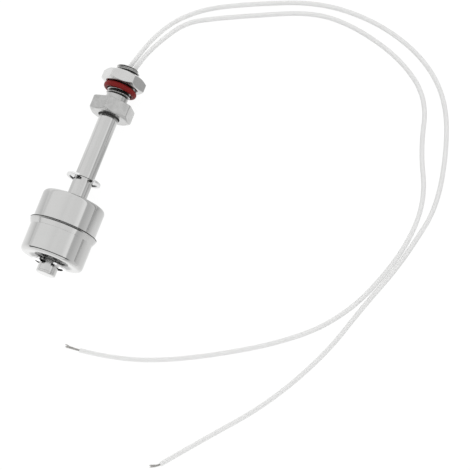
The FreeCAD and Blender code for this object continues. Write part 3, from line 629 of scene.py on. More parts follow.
FINISHES = {finish.name: finish for finish in (
    Finish("polished_steel", "polished_steel", (0.55, 0.55, 0.545), (0.52, 0.52, 0.515), 1.0, 0.09, 0.15,
           patch=90.0, fineness=5200.0, fade=60.0, depth=0.0000025),
    # Painted shade: near-black towards the float's tube, on its rims and the end faces round it.
    Finish("float_steel", "float_steel", (0.56, 0.56, 0.555), (0.535, 0.535, 0.53), 1.0, 0.06, 0.11,
           patch=55.0, fineness=3800.0, fade=40.0, depth=0.0000022, painted_shade=0.85,
           painted_shade_span=(0.0094, 0.0078, 0.0010, 0.0350)),
    # Painted shade: near-black in the neck thread's grooves.
    Finish("turned_steel", "turned_steel", (0.57, 0.57, 0.565), (0.35, 0.35, 0.345), 1.0, 0.12, 0.26,
           patch=170.0, fineness=7000.0, fade=120.0, depth=0.000009, painted_shade=0.92),
    Finish("pressed_steel", "turned_steel", (0.63, 0.63, 0.625), (0.54, 0.54, 0.535), 1.0, 0.10, 0.20,
           patch=120.0, grain=2600.0, depth=0.000004),
    # Near-black and matt: painted shade for the weld ring in the stem's corner under the hexagon.
    Finish("weld_and_corner_shade", "polished_steel", (0.075, 0.073, 0.070), (0.03, 0.03, 0.03), 0.0, 0.55, 0.75,
           patch=400.0, specular=0.15),
    # Near-black and matt: painted shadow for the weld ring in the float's seam.
    Finish("weld_and_seam_shadow", "float_steel", (0.035, 0.034, 0.033), (0.02, 0.02, 0.02), 0.0, 0.80, 0.95,
           patch=420.0, grain=5000.0, depth=0.00001, specular=0.0),
    # Painted shade: near-black on the clips' inner walls between their two faces.
    *(Finish(name, "spring_steel", (0.80, 0.80, 0.80), (0.70, 0.70, 0.70), 1.0, 0.08, 0.15,
             patch=300.0, grain=4000.0, depth=0.000003, coat=1.0, painted_shade=1.0,
             painted_shade_span=(0.0066, 0.0064, low, high))
      for name, low, high in (("spring_steel", 0.00402, 0.00468), ("spring_steel_upper", 0.04087, 0.04153))),
    Finish("red_rubber", "red_rubber", (0.23, 0.011, 0.010), (0.18, 0.008, 0.008), 0.0, 0.40, 0.55,
           patch=260.0, grain=5200.0, depth=0.000008, specular=0.16),
    Finish("ferrite", "ferrite", (0.10, 0.10, 0.105), (0.06, 0.06, 0.065), 0.0, 0.55, 0.75,
           patch=200.0, grain=6000.0, depth=0.00001),
    Finish("black_plastic", "black_plastic", (0.03, 0.03, 0.03), (0.022, 0.022, 0.022), 0.0, 0.45, 0.60,
           patch=200.0, grain=5000.0, depth=0.000006),
    Finish("clear_glass", "clear_glass", (0.80, 0.90, 0.84), (0.74, 0.86, 0.79), 0.0, 0.02, 0.05,
           patch=150.0, clear=1.0),
    Finish("plated_lead", "plated_lead", (0.72, 0.70, 0.66), (0.60, 0.58, 0.54), 1.0, 0.18, 0.30,
           patch=400.0, grain=6000.0, depth=0.000003),
    Finish("shrink_sleeve", "shrink_sleeve", (0.03, 0.03, 0.034), (0.02, 0.02, 0.024), 0.0, 0.35, 0.50,
           patch=300.0, grain=3000.0, depth=0.00001),
    Finish("solder", "solder", (0.66, 0.66, 0.68), (0.50, 0.50, 0.52), 1.0, 0.25, 0.45,
           patch=500.0, grain=2500.0, depth=0.00002),
    Finish("sealing_compound", "sealing_compound", (0.022, 0.022, 0.022), (0.012, 0.012, 0.012), 0.0, 0.08,
           0.22, patch=260.0, grain=900.0, depth=0.00002, coat=0.4),
    Finish("wire_insulation", "wire_insulation", (0.885, 0.885, 0.88), (0.86, 0.86, 0.855), 0.0, 0.50, 0.62,
           patch=240.0, grain=3800.0, depth=0.000003, specular=0.22),
    Finish("tinned_strand", "tinned_strand", (0.72, 0.71, 0.69), (0.34, 0.33, 0.32), 1.0, 0.28, 0.45,
           patch=700.0, grain=5000.0, depth=0.000006),
)}


@dataclass(frozen=True)
class Weld:
    """A ring of weld round the stem's line, in mm, which is narrower by the drift towards +X."""

    name: str
    finish: str
    body: Body
    radius: float
    height: float
    reach: float
    half: float
    ripple: float
    scales: int
    columns: int
    drift: float = 0.0
    rows: int = 14


class Assembly:
    """A sub-assembly: its sizes, and the materials that dress its pieces."""

    @dataclass(frozen=True)
    class Sizes:
        """The sizes, which each sub-assembly sets for itself."""

    def __init__(self, materials: dict[str, bpy.types.Material]) -> None:
        """Keep the materials, by their names, and the sizes."""
        self.materials = materials
        self.size = self.Sizes()

    def dress(self, piece: bpy.types.Object, finish: str, body: Body, *stands_for: str) -> bpy.types.Object:
        """Give a piece its material and its body, and hide the CAD nodes that it stands for.

        Args:
            piece: The piece.
            finish: The name of its finish.
            body: The body that it rides on.
            stands_for: The CAD nodes that it replaces.

        Returns:
            The piece.
        """
        piece.data.materials.clear()
        piece.data.materials.append(self.materials[finish])
        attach(piece, body.value)
        if stands_for:
            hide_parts(*stands_for)
        LOG.info("%s on %s", piece.name, body.value)
        return piece

    def turned(self, name: str, outline: np.ndarray, angles: np.ndarray, finish: str, body: Body,
               *stands_for: str, close_rows: bool = True) -> bpy.types.Object:
        """Turn an outline about the stem's line, and dress the piece.

        Args:
            name: The piece's name.
            outline: Its outline in mm, rows x 2 x angles, or rows x 2 x 1 for a round piece.
            angles: Angles round the stem, in radians.
            finish: The name of its finish.
            body: The body that it rides on.
            stands_for: The CAD nodes that it replaces.
            close_rows: Whether the outline's last point joins its first.

        Returns:
            The dressed piece.
        """
        piece = Surface(name).add(LINE.turned(outline, angles), close_rows=close_rows).finish()
        return self.dress(piece, finish, body, *stands_for)

    def weld_ring(self, weld: Weld) -> bpy.types.Object:
        """Carry the weld's flat oval round the stem's line: radius + r cos s, height + half sin s.

        At angle a its reach is r = reach - drift cos a - ripple (1 + cos(scales x a)) / 2.

        Args:
            weld: The weld's sizes.

        Returns:
            The dressed piece.
        """
        angles = ring_angles(weld.columns)
        turn = ring_angles(weld.rows)[:, None]
        scales = (1 + np.cos(weld.scales * angles)) / 2
        reach = weld.reach - weld.drift * np.cos(angles) - weld.ripple * scales
        radius = weld.radius + reach * np.cos(turn)
        outline = layers(radius, weld.height + weld.half * np.sin(turn))
        return self.turned(weld.name, outline, angles, weld.finish, weld.body)


@dataclass(frozen=True)
class Thread:
    """The neck's thread, a right-hand trapezoid that starts from an undercut at the hexagon, in mm."""

    radius: float = 5.0
    pitch: float = 1.5
    depth: float = 0.8
    crest: float = 0.22
    flank: float = math.tan(math.radians(30.0))
    undercut: float = 4.55
    undercut_top: float = 78.45
    dish: float = 5.25
    dish_low: float = 75.0
    end: float = 91.0
    chamfer: float = 0.4

    def radii(self, angles: np.ndarray, heights: np.ndarray) -> np.ndarray:
        """Radius = outer radius - fall from the crest, within the undercut's shoulder and the end's chamfer.

        A point's phase is height / pitch - angle / turn. Its distance from the crest's middle is
        |phase - nearest whole number| x pitch, and the flank falls by 1 / tan 30 of that past the crest.

        Args:
            angles: Angles round the stem, in radians.
            heights: Heights along the stem, in mm.

        Returns:
            The radii, heights x angles.
        """
        phase = heights[:, None] / self.pitch - angles[None, :] / FULL_TURN
        away = np.abs(phase - np.round(phase)) * self.pitch
        fall = np.clip((away - self.crest / 2) / self.flank, 0, self.depth)
        shoulder = self.undercut + np.clip(heights - self.undercut_top, 0, None)[:, None]
        edge = self.radius - np.clip(heights - (self.end - self.chamfer), 0, None)[:, None]
        return np.minimum(self.radius - fall, np.minimum(shoulder, edge))


@dataclass(frozen=True)
class Hexagon:
    """A hexagon bar's outline and the cones that bevel its corners at both faces, in mm and degrees."""

    turn: float
    low_bevel: float
    top_bevel: float
    flat_radius: float = 8.0
    bevel_slope: float = math.tan(math.radians(30.0))
    corner_ease: float = 0.12
    edge: float = 0.35

    def outline(self, angles: np.ndarray) -> np.ndarray:
        """Radius = flat radius / cos(angle from the nearest flat's middle), with the corners eased."""
        away = np.mod(angles - math.radians(self.turn), math.pi / 3) - math.pi / 6
        corner = self.flat_radius / math.cos(math.pi / 6) - self.corner_ease
        return np.minimum(self.flat_radius / np.cos(away), corner)

    def rows(self, angles: np.ndarray, low: float, top: float) -> list[np.ndarray]:
        """Radius and height of the lower bevel's two edges, then of the upper one's, at each angle.

        A bevel's depth at the outline = how far the outline is outside the bevel's circle x its slope.

        Args:
            angles: Angles round the stem, in radians.
            low: Height of the lower face.
            top: Height of the upper face.

        Returns:
            Four rows, each 2 x angles.
        """
        rim = self.outline(angles)
        low_fall = np.clip(rim - self.low_bevel, 0, None) * self.bevel_slope
        top_fall = np.clip(rim - self.top_bevel, 0, None) * self.bevel_slope
        return [
            level(np.minimum(self.low_bevel, rim - self.edge), low, angles),
            level(rim, low + low_fall, angles),
            level(rim, top - top_fall, angles),
            level(np.minimum(self.top_bevel, rim - self.edge), top, angles),
        ]


class Fitting(Assembly):
    """The hexagon with its threaded neck, turned from one bar."""

    hexagon = Hexagon(turn=20.0, low_bevel=7.7, top_bevel=8.75)
    thread = Thread()

    @dataclass(frozen=True)
    class Sizes:
        """Radii and heights, in mm."""

        stem_radius: float = 4.0
        stem_top: float = 73.8
        hex_low: float = 69.3
        face: float = 75.3
        bore: float = 3.5
        mouth_cut: float = 0.15
        lower_cuts: tuple[float, ...] = (0, 0.05, 0.12, 0.10, 0.20, 0.20, 0.10, 0.06, 0.20, 0, 0, 0, 0)
        neck_rows: tuple[float, ...] = (2.0, 0.4, 0.2, 0.1)
        columns: int = 240
        rows_per_pitch: int = 20

    def build(self) -> bpy.types.Object:
        """Turn the hexagon's outline, the thread and the bore as one closed surface.

        Rows just below the thread stand close together, so that the neck's smooth shading stays even.

        Returns:
            The dressed piece.
        """
        size = self.size
        angles = ring_angles(size.columns, self.hexagon.turn)
        thread = self.thread
        lower = np.stack([
            level(size.bore, size.stem_top, angles),
            level(size.stem_radius, size.stem_top, angles),
            level(size.stem_radius, size.hex_low, angles),
            *self.hexagon.rows(angles, size.hex_low, size.face),
            level(thread.dish, size.face, angles),
            level(thread.undercut, thread.dish_low, angles),
            *(level(thread.undercut, thread.undercut_top - under, angles) for under in size.neck_rows),
        ])
        body = eased(lower, np.array(size.lower_cuts), 3, closed=False)
        heights = np.arange(thread.undercut_top, thread.end, thread.pitch / size.rows_per_pitch)
        radii = thread.radii(angles, heights)
        neck = layers(radii, heights[:, None])
        mouth = np.stack([
            level(radii[-1], thread.end, angles),
            level(size.bore, thread.end, angles),
            level(size.bore, size.stem_top, angles),
        ])
        tip = eased(mouth, np.array([0, size.mouth_cut, 0]), 3, closed=False)
        return self.turned("threaded_fitting", np.concatenate([body, neck, tip]), angles,
                           "turned_steel", Body.STEM, "hex_fitting")


class LockNut(Assembly):
    """The lock nut, with bevelled corners and a thread that runs in the neck's."""

    hexagon = Hexagon(turn=0.0, low_bevel=7.5, top_bevel=7.5)
    thread = Thread()

    @dataclass(frozen=True)
    class Sizes:
        """Radii and heights, in mm."""

        low: float = 83.0
        top: float = 88.0
        bore: float = 5.05
        play: float = 0.06
        ridge_reach: float = 0.62
        sink: float = 0.5
        sink_slope: float = 1.6
        cuts: tuple[float, ...] = (0, 0.10, 0.12, 0.12, 0.10, 0)
        columns: int = 240
        bore_rows: int = 61

    def bore_radii(self, angles: np.ndarray, heights: np.ndarray) -> np.ndarray:
        """Radius of the bore = the neck's thread + play, within the ridges' reach, opening at both ends.

        Args:
            angles: Angles round the stem, in radians.
            heights: Heights along the stem, in mm.

        Returns:
            The radii, heights x angles.
        """
        size = self.size
        groove = self.thread.radii(angles, heights) + size.play
        ridges = np.maximum(groove, size.bore - size.ridge_reach)
        near_end = np.minimum(heights - size.low, size.top - heights)[:, None]
        mouth = size.bore + size.sink - size.sink_slope * near_end
        return np.maximum(ridges, mouth)

    def build(self) -> bpy.types.Object:
        """Turn the outline and the threaded bore as one closed surface.

        Returns:
            The dressed piece.
        """
        size = self.size
        angles = ring_angles(size.columns, self.hexagon.turn)
        mouth = size.bore + size.sink
        outside = np.stack([
            level(mouth, size.low, angles),
            *self.hexagon.rows(angles, size.low, size.top),
            level(mouth, size.top, angles),
        ])
        shell = eased(outside, np.array(size.cuts), 3, closed=False)
        heights = np.linspace(size.top, size.low, size.bore_rows)[1:-1]
        bore = layers(self.bore_radii(angles, heights), heights[:, None])
        return self.turned("bevelled_lock_nut", np.concatenate([shell, bore]), angles,
                           "pressed_steel", Body.NUT, "lock_nut")


class SealRing(Assembly):
    """The moulded seal ring with its fine parting line."""

    @dataclass(frozen=True)
    class Sizes:
        """Radii and heights, in mm."""

        centre_radius: float = 6.05
        height: float = 81.5
        section: float = 1.0
        half_height: float = 1.17
        lean: float = 0.2
        flash: float = 0.03
        flash_width: float = 0.09
        columns: int = 160
        rows: int = 56

    def build(self) -> bpy.types.Object:
        """Carry the section (a cos s, b sin s) round the stem, with a flash on a.

        The flash falls off as exp(-(sin s / width)^2), so it stands where cos s is near 1 or -1.
        The loose ring leans a little: its height falls by the lean x the cosine of the angle round the stem.

        Returns:
            The dressed piece.
        """
        size = self.size
        turn = ring_angles(size.rows)
        flash = size.flash * np.exp(-(np.sin(turn) / size.flash_width) ** 2)
        radius = size.section - size.flash + flash
        angles = ring_angles(size.columns)
        height = size.height + (size.half_height * np.sin(turn))[:, None] - size.lean * np.cos(angles)
        outline = layers((size.centre_radius + radius * np.cos(turn))[:, None], height)
        return self.turned("moulded_seal_ring", outline, angles, "red_rubber", Body.RING, "seal_ring")


class Stem(Assembly):
    """The stem's tube with its clip grooves, the plug in its end, and the weld ring of painted corner shade at
    the hexagon.
    """

    # The weld ring is near-black: painted shade in the corner where the stem meets the hexagon.
    weld = Weld("stem_weld_shade_ring", "weld_and_corner_shade", Body.STEM, radius=4.15, height=69.22, reach=0.42, half=0.28,
                ripple=0.10, scales=40, columns=400, drift=0.16)

    @dataclass(frozen=True)
    class Sizes:
        """Radii and heights, in mm."""

        radius: float = 4.0
        bore: float = 3.0
        seam: float = 1.0
        top: float = 73.8
        groove: float = 3.5
        grooves: tuple[tuple[float, float], ...] = ((3.88, 4.82), (40.73, 41.67))
        plug_chamfer: float = 0.35
        spigot: float = 4.0
        columns: int = 128

    def build(self) -> list[bpy.types.Object]:
        """Build the tube, the plug and the weld ring of painted corner shade at the hexagon.

        Returns:
            The dressed pieces.
        """
        return [self.tube(), self.plug(), self.weld_ring(self.weld)]

    def tube(self) -> bpy.types.Object:
        """Turn the tube's wall, with a square groove for each clip.

        Returns:
            The dressed tube.
        """
        size = self.size
        pairs = [(size.bore, size.seam), (size.radius, size.seam)]
        cuts = [0.02, 0.06]
        for low, high in size.grooves:
            pairs += [(size.radius, low), (size.groove, low), (size.groove, high), (size.radius, high)]
            cuts += [0.04, 0.02, 0.02, 0.04]
        pairs += [(size.radius, size.top), (size.bore, size.top)]
        cuts += [0.05, 0.05]
        return self.turned("grooved_stem", round_outline(pairs, cuts, 2), ring_angles(size.columns),
                           "polished_steel", Body.STEM, "stem_tube")

    def plug(self) -> bpy.types.Object:
        """Turn the plug, a chamfered disc with a spigot, closed at the axis.

        Returns:
            The dressed plug.
        """
        size = self.size
        pairs = [(0.0, 0.0), (size.radius - size.plug_chamfer, 0.0), (size.radius, size.plug_chamfer),
                 (size.radius, size.seam), (size.bore, size.seam), (size.bore, size.spigot),
                 (0.0, size.spigot)]
        cuts = [0, 0.10, 0.10, 0.05, 0.02, 0.15, 0]
        return self.turned("stem_end_plug", round_outline(pairs, cuts, 3, closed=False),
                           ring_angles(size.columns), "polished_steel", Body.STEM, "end_plug",
                           close_rows=False)


@dataclass(frozen=True)
class ClipPlace:
    """Where one stop clip sits and how it is turned."""

    name: str
    node: str
    finish: str
    low: float
    turn: float


class StopClips(Assembly):
    """The two stop clips: flat open rings with three lugs that reach into the stem's grooves."""

    places = (
        ClipPlace("sprung_clip_lower", "lower_stop_clip", "spring_steel", 3.9, -95.0),
        ClipPlace("sprung_clip_upper", "upper_stop_clip", "spring_steel_upper", 40.75, -76.0),
    )

    @dataclass(frozen=True)
    class Sizes:
        """Radii and heights in mm, angles in degrees."""

        radius: float = 7.15
        lug: float = 3.52
        relief: float = 5.9
        relief_start: float = 68.0
        relief_end: float = 155.0
        relief_blend: float = 5.0
        mouth_half: float = 2.9
        thickness: float = 0.9
        edge: float = 0.12
        columns: int = 260

    def build(self) -> list[bpy.types.Object]:
        """Build both clips.

        Returns:
            The dressed pieces.
        """
        return [self.clip(place) for place in self.places]

    def inner_radii(self, angles: np.ndarray) -> np.ndarray:
        """Radius = lug radius, or the relief's between its start and end on either side of the mouth.

        Args:
            angles: Angles from the mouth's middle, in radians.

        Returns:
            The radii.
        """
        size = self.size
        side = np.degrees(np.minimum(angles, FULL_TURN - angles))
        opened = smooth(size.relief_start, size.relief_start + size.relief_blend, side)
        closed = smooth(size.relief_end - size.relief_blend, size.relief_end, side)
        return size.lug + (size.relief - size.lug) * (opened - closed)

    def clip(self, place: ClipPlace) -> bpy.types.Object:
        """Carry a flat section round the stem from one side of the mouth to the other.

        A point of radius r lies at angle m + u (turn - 2 m), where sin m = mouth half / r and u runs from 0
        to 1, so both sides of the mouth are flat and parallel.

        Args:
            place: Where the clip sits.

        Returns:
            The dressed piece.
        """
        size = self.size
        share = np.linspace(0, 1, size.columns)
        first = math.asin(size.mouth_half / size.radius)
        inner = self.inner_radii(first + share * (FULL_TURN - 2 * first))
        outer, low, high = size.radius, place.low, place.low + size.thickness
        corners = np.stack([level(inner, low, share), level(outer, low, share), level(outer, high, share),
                            level(inner, high, share)])
        section = eased(corners, np.full(4, size.edge), 3)
        radius = section[:, 0, :]
        mouth = np.arcsin(size.mouth_half / radius)
        angle = mouth + share * (FULL_TURN - 2 * mouth) + math.radians(place.turn)
        grid = LINE.place(radius * np.cos(angle), radius * np.sin(angle), section[:, 1, :])
        piece = Surface(place.name).add(grid, close_columns=False).finish(cap=True)
        return self.dress(piece, place.finish, Body.STEM, place.node)


class Float(Assembly):
    """The float's two drawn shells, the weld ring of painted seam shadow between them and the tube through
    them.
    """

    # The weld ring is near-black: a painted shadow line in the seam at the bead's upper edge.
    weld = Weld("float_seam_shadow_ring", "weld_and_seam_shadow", Body.FLOAT, radius=13.87, height=19.46, reach=0.13, half=0.22,
                ripple=0.02, scales=150, columns=900)

    @dataclass(frozen=True)
    class Sizes:
        """Radii and heights, in mm."""

        low: float = 5.6
        top: float = 32.0
        radius: float = 13.0
        wall: float = 0.6
        bead_radius: float = 14.0
        bead_waist: float = 13.86
        bead_foot: float = 1.9
        bead_half: float = 0.70
        bead_cut: float = 0.22
        round_cut: float = 1.9
        inner_cut: float = 1.1
        sleeve: float = 4.9
        sleeve_bore: float = 4.4
        seam_depth: float = 0.15
        seam_width: float = 0.45
        columns: int = 224
        sleeve_columns: int = 128

    @property
    def middle(self) -> float:
        """Height of the bead's middle."""
        return (self.size.low + self.size.top) / 2

    def build(self) -> list[bpy.types.Object]:
        """Build the shells, the weld ring of painted seam shadow and the sleeve.

        Returns:
            The dressed pieces.
        """
        return [self.lower_shell(), self.upper_shell(), self.weld_ring(self.weld), self.sleeve()]

    def shell(self, name: str, node: str, pairs: Outline, cuts: list[float]) -> bpy.types.Object:
        """Turn one shell's wall, from its hole to the bead and back inside.

        Args:
            name: The piece's name.
            node: The CAD node that it stands for.
            pairs: Radius and height of each corner.
            cuts: The cut of each corner.

        Returns:
            The dressed piece.
        """
        return self.turned(name, round_outline(pairs, cuts, 8), ring_angles(self.size.columns),
                           "float_steel", Body.FLOAT, node)

    def lower_shell(self) -> bpy.types.Object:
        """Turn the lower shell, whose bead swells softly out of the wall.

        Returns:
            The dressed shell.
        """
        size = self.size
        inside = size.radius - size.wall
        pairs = [(size.sleeve, size.low), (size.radius, size.low), (size.radius, self.middle - size.bead_foot),
                 (size.bead_waist, self.middle), (inside, self.middle), (inside, size.low + size.wall),
                 (size.sleeve, size.low + size.wall)]
        cuts = [0.04, size.round_cut, 0.05, 0.02, 0.03, size.inner_cut, 0.04]
        return self.shell("lower_float_shell", "float_lower_shell", pairs, cuts)

    def upper_shell(self) -> bpy.types.Object:
        """Turn the upper shell, with a narrow seam cut where it meets the bead's sharp edge.

        Returns:
            The dressed shell.
        """
        size = self.size
        inside = size.radius - size.wall
        bead = self.middle + size.bead_half
        seam = size.radius - size.seam_depth
        pairs = [(size.sleeve, size.top), (size.radius, size.top), (size.radius, bead + size.seam_width),
                 (seam, bead + size.seam_width), (seam, bead), (size.bead_radius, bead),
                 (size.bead_waist, self.middle), (inside, self.middle), (inside, size.top - size.wall),
                 (size.sleeve, size.top - size.wall)]
        cuts = [0.04, size.round_cut, 0.05, 0.03, 0.03, size.bead_cut, 0.02, 0.03, size.inner_cut, 0.04]
        return self.shell("upper_float_shell", "float_upper_shell", pairs, cuts)

    def sleeve(self) -> bpy.types.Object:
        """Turn the tube through the float, its rims eased.

        Returns:
            The dressed tube.
        """
        size = self.size
        pairs = [(size.sleeve_bore, size.low), (size.sleeve, size.low), (size.sleeve, size.top),
                 (size.sleeve_bore, size.top)]
        cuts = [0.18, 0.10, 0.10, 0.18]
        return self.turned("float_guide_tube", round_outline(pairs, cuts, 4), ring_angles(size.sleeve_columns),
                           "float_steel", Body.FLOAT, "float_sleeve")


class Seal(Assembly):
    """The sealing compound in the neck, which climbs a little up each wire."""

    @dataclass(frozen=True)
    class Sizes:
        """Radii, heights and places across, in mm."""

        radius: float = 3.5
        face: float = 90.1
        depth: float = 12.0
        sag: float = 0.12
        wires: tuple[float, float] = (-0.4, 2.05)
        wire_radius: float = 0.98
        climb: float = 1.6
        climb_width: float = 0.30
        columns: int = 96
        rows: int = 40

    def build(self) -> bpy.types.Object:
        """Spread the face over a disc: height = face - sag x (1 - (r / radius)^2) + climb near each wire.

        The climb falls off as exp(-(distance from the wire / width)^2).

        Returns:
            The dressed piece.
        """
        size = self.size
        angles = ring_angles(size.columns)
        radius = np.linspace(0, size.radius, size.rows)[:, None] * np.ones_like(angles)
        x = radius * np.cos(angles)
        y = radius * np.sin(angles)
        height = size.face - size.sag * (1 - (radius / size.radius) ** 2)
        for across in size.wires:
            away = np.clip(np.hypot(x - across, y) - size.wire_radius, 0, None)
            height = height + size.climb * np.exp(-(away / size.climb_width) ** 2)
        top = LINE.place(x, y, height)
        foot = LINE.turned(np.stack([level(size.radius, size.face - size.depth, angles),
                                     level(0.0, size.face - size.depth, angles)]), angles)
        grid = np.concatenate([top, foot])
        piece = Surface("neck_sealing").add(grid, close_rows=False).finish()
        return self.dress(piece, "sealing_compound", Body.STEM, "potting")


@dataclass(frozen=True)
class Route:
    """One wire's way: its node names, where it leaves the neck, and its points after that, in metres."""

    name: str
    node: str
    strand_node: str
    across: float
    points: tuple[tuple[float, float, float], ...]
    tip: tuple[float, float, float]
    length: float
    aside: float


FLOOR = 0.000895
ROUTES = (
    Route("lead_wire_1", "wire_1", "wire_1_strands", -0.4, (
        (0.0010, 0.0508, 0.0071), (0.0036, 0.0612, 0.0041), (0.0089, 0.0726, FLOOR), (0.0194, 0.0823, FLOOR),
        (0.0361, 0.0906, FLOOR), (0.0622, 0.1013, FLOOR), (0.0868, 0.1018, FLOOR), (0.1080, 0.0954, FLOOR),
        (0.1228, 0.0839, FLOOR), (0.1313, 0.0667, FLOOR), (0.1370, 0.0381, FLOOR), (0.1326, 0.0180, FLOOR),
        (0.1288, 0.0049, FLOOR), (0.1221, -0.0123, FLOOR), (0.1144, -0.0356, FLOOR), (0.0994, -0.0620, FLOOR),
        (0.0806, -0.0836, FLOOR), (0.0680, -0.0987, FLOOR),
    ), (0.0641, -0.1009, FLOOR), 0.3595, 0.00012),
    Route("lead_wire_2", "wire_2", "wire_2_strands", 2.05, (
        (0.0032, 0.0506, 0.0071), (0.0069, 0.0612, 0.0039), (0.0138, 0.0736, FLOOR), (0.0239, 0.0793, FLOOR),
        (0.0392, 0.0864, FLOOR), (0.0620, 0.0965, FLOOR), (0.0806, 0.0966, FLOOR), (0.1031, 0.0900, FLOOR),
        (0.1185, 0.0778, FLOOR), (0.1228, 0.0572, FLOOR), (0.1316, 0.0384, FLOOR), (0.1309, 0.0173, FLOOR),
        (0.1225, -0.0068, FLOOR), (0.1133, -0.0213, FLOOR), (0.1026, -0.0319, FLOOR), (0.0841, -0.0447, FLOOR),
        (0.0561, -0.0596, FLOOR), (0.0359, -0.0661, FLOOR), (0.0219, -0.0677, FLOOR),
    ), (0.0157, -0.0680, FLOOR), 0.3550, -0.00012),
)


class Wires(Assembly):
    """The two loose wires: smooth insulation, and a twist of bare strands at each end.

    The insulation has the photograph's thickness, and lies a little higher and further apart for that than
    the CAD routes.
    """

    @dataclass(frozen=True)
    class Sizes:
        """Sizes in metres."""

        radius: float = 0.00098
        lift: float = 0.000105
        exit_height: float = 90.1
        strand_radius: float = 0.00015
        lay_radius: float = 0.00032
        lay_length: float = 0.0055
        strands: int = 6
        fray: float = 0.00042
        bend: float = 0.35
        shorter: float = 0.10
        rows: int = 40
        columns: int = 12
        curve_steps: int = 10
        round_steps: int = 5
        order: int = 3

    def build(self) -> list[bpy.types.Object]:
        """Returns:
            The dressed pieces.
        """
        pieces = []
        for route in ROUTES:
            wire = self.wire(route)
            strands = self.strands(route)
            start = self.start(route)
            pieces += [wire, strands]
        return pieces

    def start(self, route: Route) -> list[float]:
        """Point where a wire leaves the sealing compound.

        Args:
            route: The wire's way.

        Returns:
            The point, in metres.
        """
        return list(LINE.place(np.array(route.across), np.array(0.0), np.array(self.size.exit_height)))

    def shift(self, route: Route) -> np.ndarray:
        """How far the route's points are moved, so that the thicker wires rest on the floor side by side.

        Args:
            route: The wire's way.

        Returns:
            The move, in metres.
        """
        return np.array([route.aside, 0.0, self.size.lift])

    def wire(self, route: Route) -> bpy.types.Object:
        """Lay one smooth curve along the route, and give it the wire's round section.

        Args:
            route: The wire's way.

        Returns:
            The dressed wire.
        """
        curve = bpy.data.curves.new(route.name, "CURVE")
        curve.dimensions = "3D"
        curve.resolution_u = self.size.curve_steps
        curve.bevel_depth = self.size.radius
        curve.bevel_resolution = self.size.round_steps
        curve.use_fill_caps = True
        points = [tuple(self.start(route)), *(np.array(route.points) + self.shift(route))]
        spline = curve.splines.new("NURBS")
        spline.points.add(len(points) - 1)
        spline.points.foreach_set("co", np.array([(*point, 1.0) for point in points]).ravel())
        spline.order_u = self.size.order
        spline.use_endpoint_u = True
        spline.use_smooth = True
        wire = bpy.data.objects.new(route.name, curve)
        bpy.context.scene.collection.objects.link(wire)
        return self.dress(wire, "wire_insulation", Body.STEM, route.node)

    def strands(self, route: Route) -> bpy.types.Object:
        """Twist the bare strands round a short curve that bends aside and frays at its end.

        Strand k runs at angle k x turn / strands + turn x distance / lay length round the curve, and its
        distance from the curve grows by the fray x share^3 x (0.4 + 0.6 cos^2(2.1 k)) towards the end. The
        last strand is the core. Strand k ends short by a share of shorter x sin^2(1.7 k).

        Args:
            route: The wire's way.

        Returns:
            The dressed strands.
        """
        size = self.size
        last = np.array(route.points[-1]) + self.shift(route)
        along = np.array(route.points[-1]) - np.array(route.points[-2])
        along /= np.linalg.norm(along)
        tip = np.array(route.tip) + self.shift(route)
        reach = np.linalg.norm(tip - last)
        bend = last + along * reach * size.bend
        share = np.linspace(0, 1, size.rows)[:, None]
        middle = (1 - share) ** 2 * last + 2 * share * (1 - share) * bend + share ** 2 * tip
        ahead = np.gradient(middle, axis=0)
        ahead /= np.linalg.norm(ahead, axis=1, keepdims=True)
        up = np.array([0.0, 0.0, 1.0])
        side = np.cross(ahead, up)
        surface = Surface(route.name + "_strands")
        for strand in range(size.strands + 1):
            spread = 0.0 if strand == size.strands else size.lay_radius
            turn = FULL_TURN * (strand / size.strands + share * reach / size.lay_length)
            fray = size.fray * share ** 3 * (0.4 + 0.6 * math.cos(2.1 * strand) ** 2)
            away = (spread + fray) * (spread > 0)
            centre = middle + side * away * np.cos(turn) + up * away * np.sin(turn)
            end = 1.0 - size.shorter * math.sin(1.7 * strand) ** 2
            rows = centre[: int(size.rows * end)]
            round_turn = ring_angles(size.columns)[None, :, None]
            ring = side[: len(rows), None] * np.cos(round_turn) + up * np.sin(round_turn)
            surface.add(rows[:, None] + size.strand_radius * ring, close_rows=False)
        piece = surface.finish(cap=True)
        return self.dress(piece, "tinned_strand", Body.STEM, route.strand_node)


class InnerPieces(Assembly):
    """The CAD nodes that stay as they are, inside the stem and the float."""

    slots = {
        "float_magnet": "ferrite",
        "magnet_collar_lower": "black_plastic", "magnet_collar_upper": "black_plastic",
        "reed_glass": "clear_glass",
        "reed_lead_upper": "plated_lead", "reed_lead_lower": "plated_lead",
        "reed_sleeve": "shrink_sleeve",
        "solder_joint_upper": "solder", "solder_joint_lower": "solder",
        "inner_wire_1": "wire_insulation", "inner_wire_2": "wire_insulation",
    }

    def build(self) -> list[bpy.types.Object]:
        """Give each node its material.

        Returns:
            The nodes' objects.
        """
        pieces = []
        for node, slot in self.slots.items():
            piece = frame["nodes"][node]
            piece.data.materials.clear()
            piece.data.materials.append(self.materials[slot])
            LOG.info("%s takes %s", node, slot)
            pieces.append(piece)
        return pieces


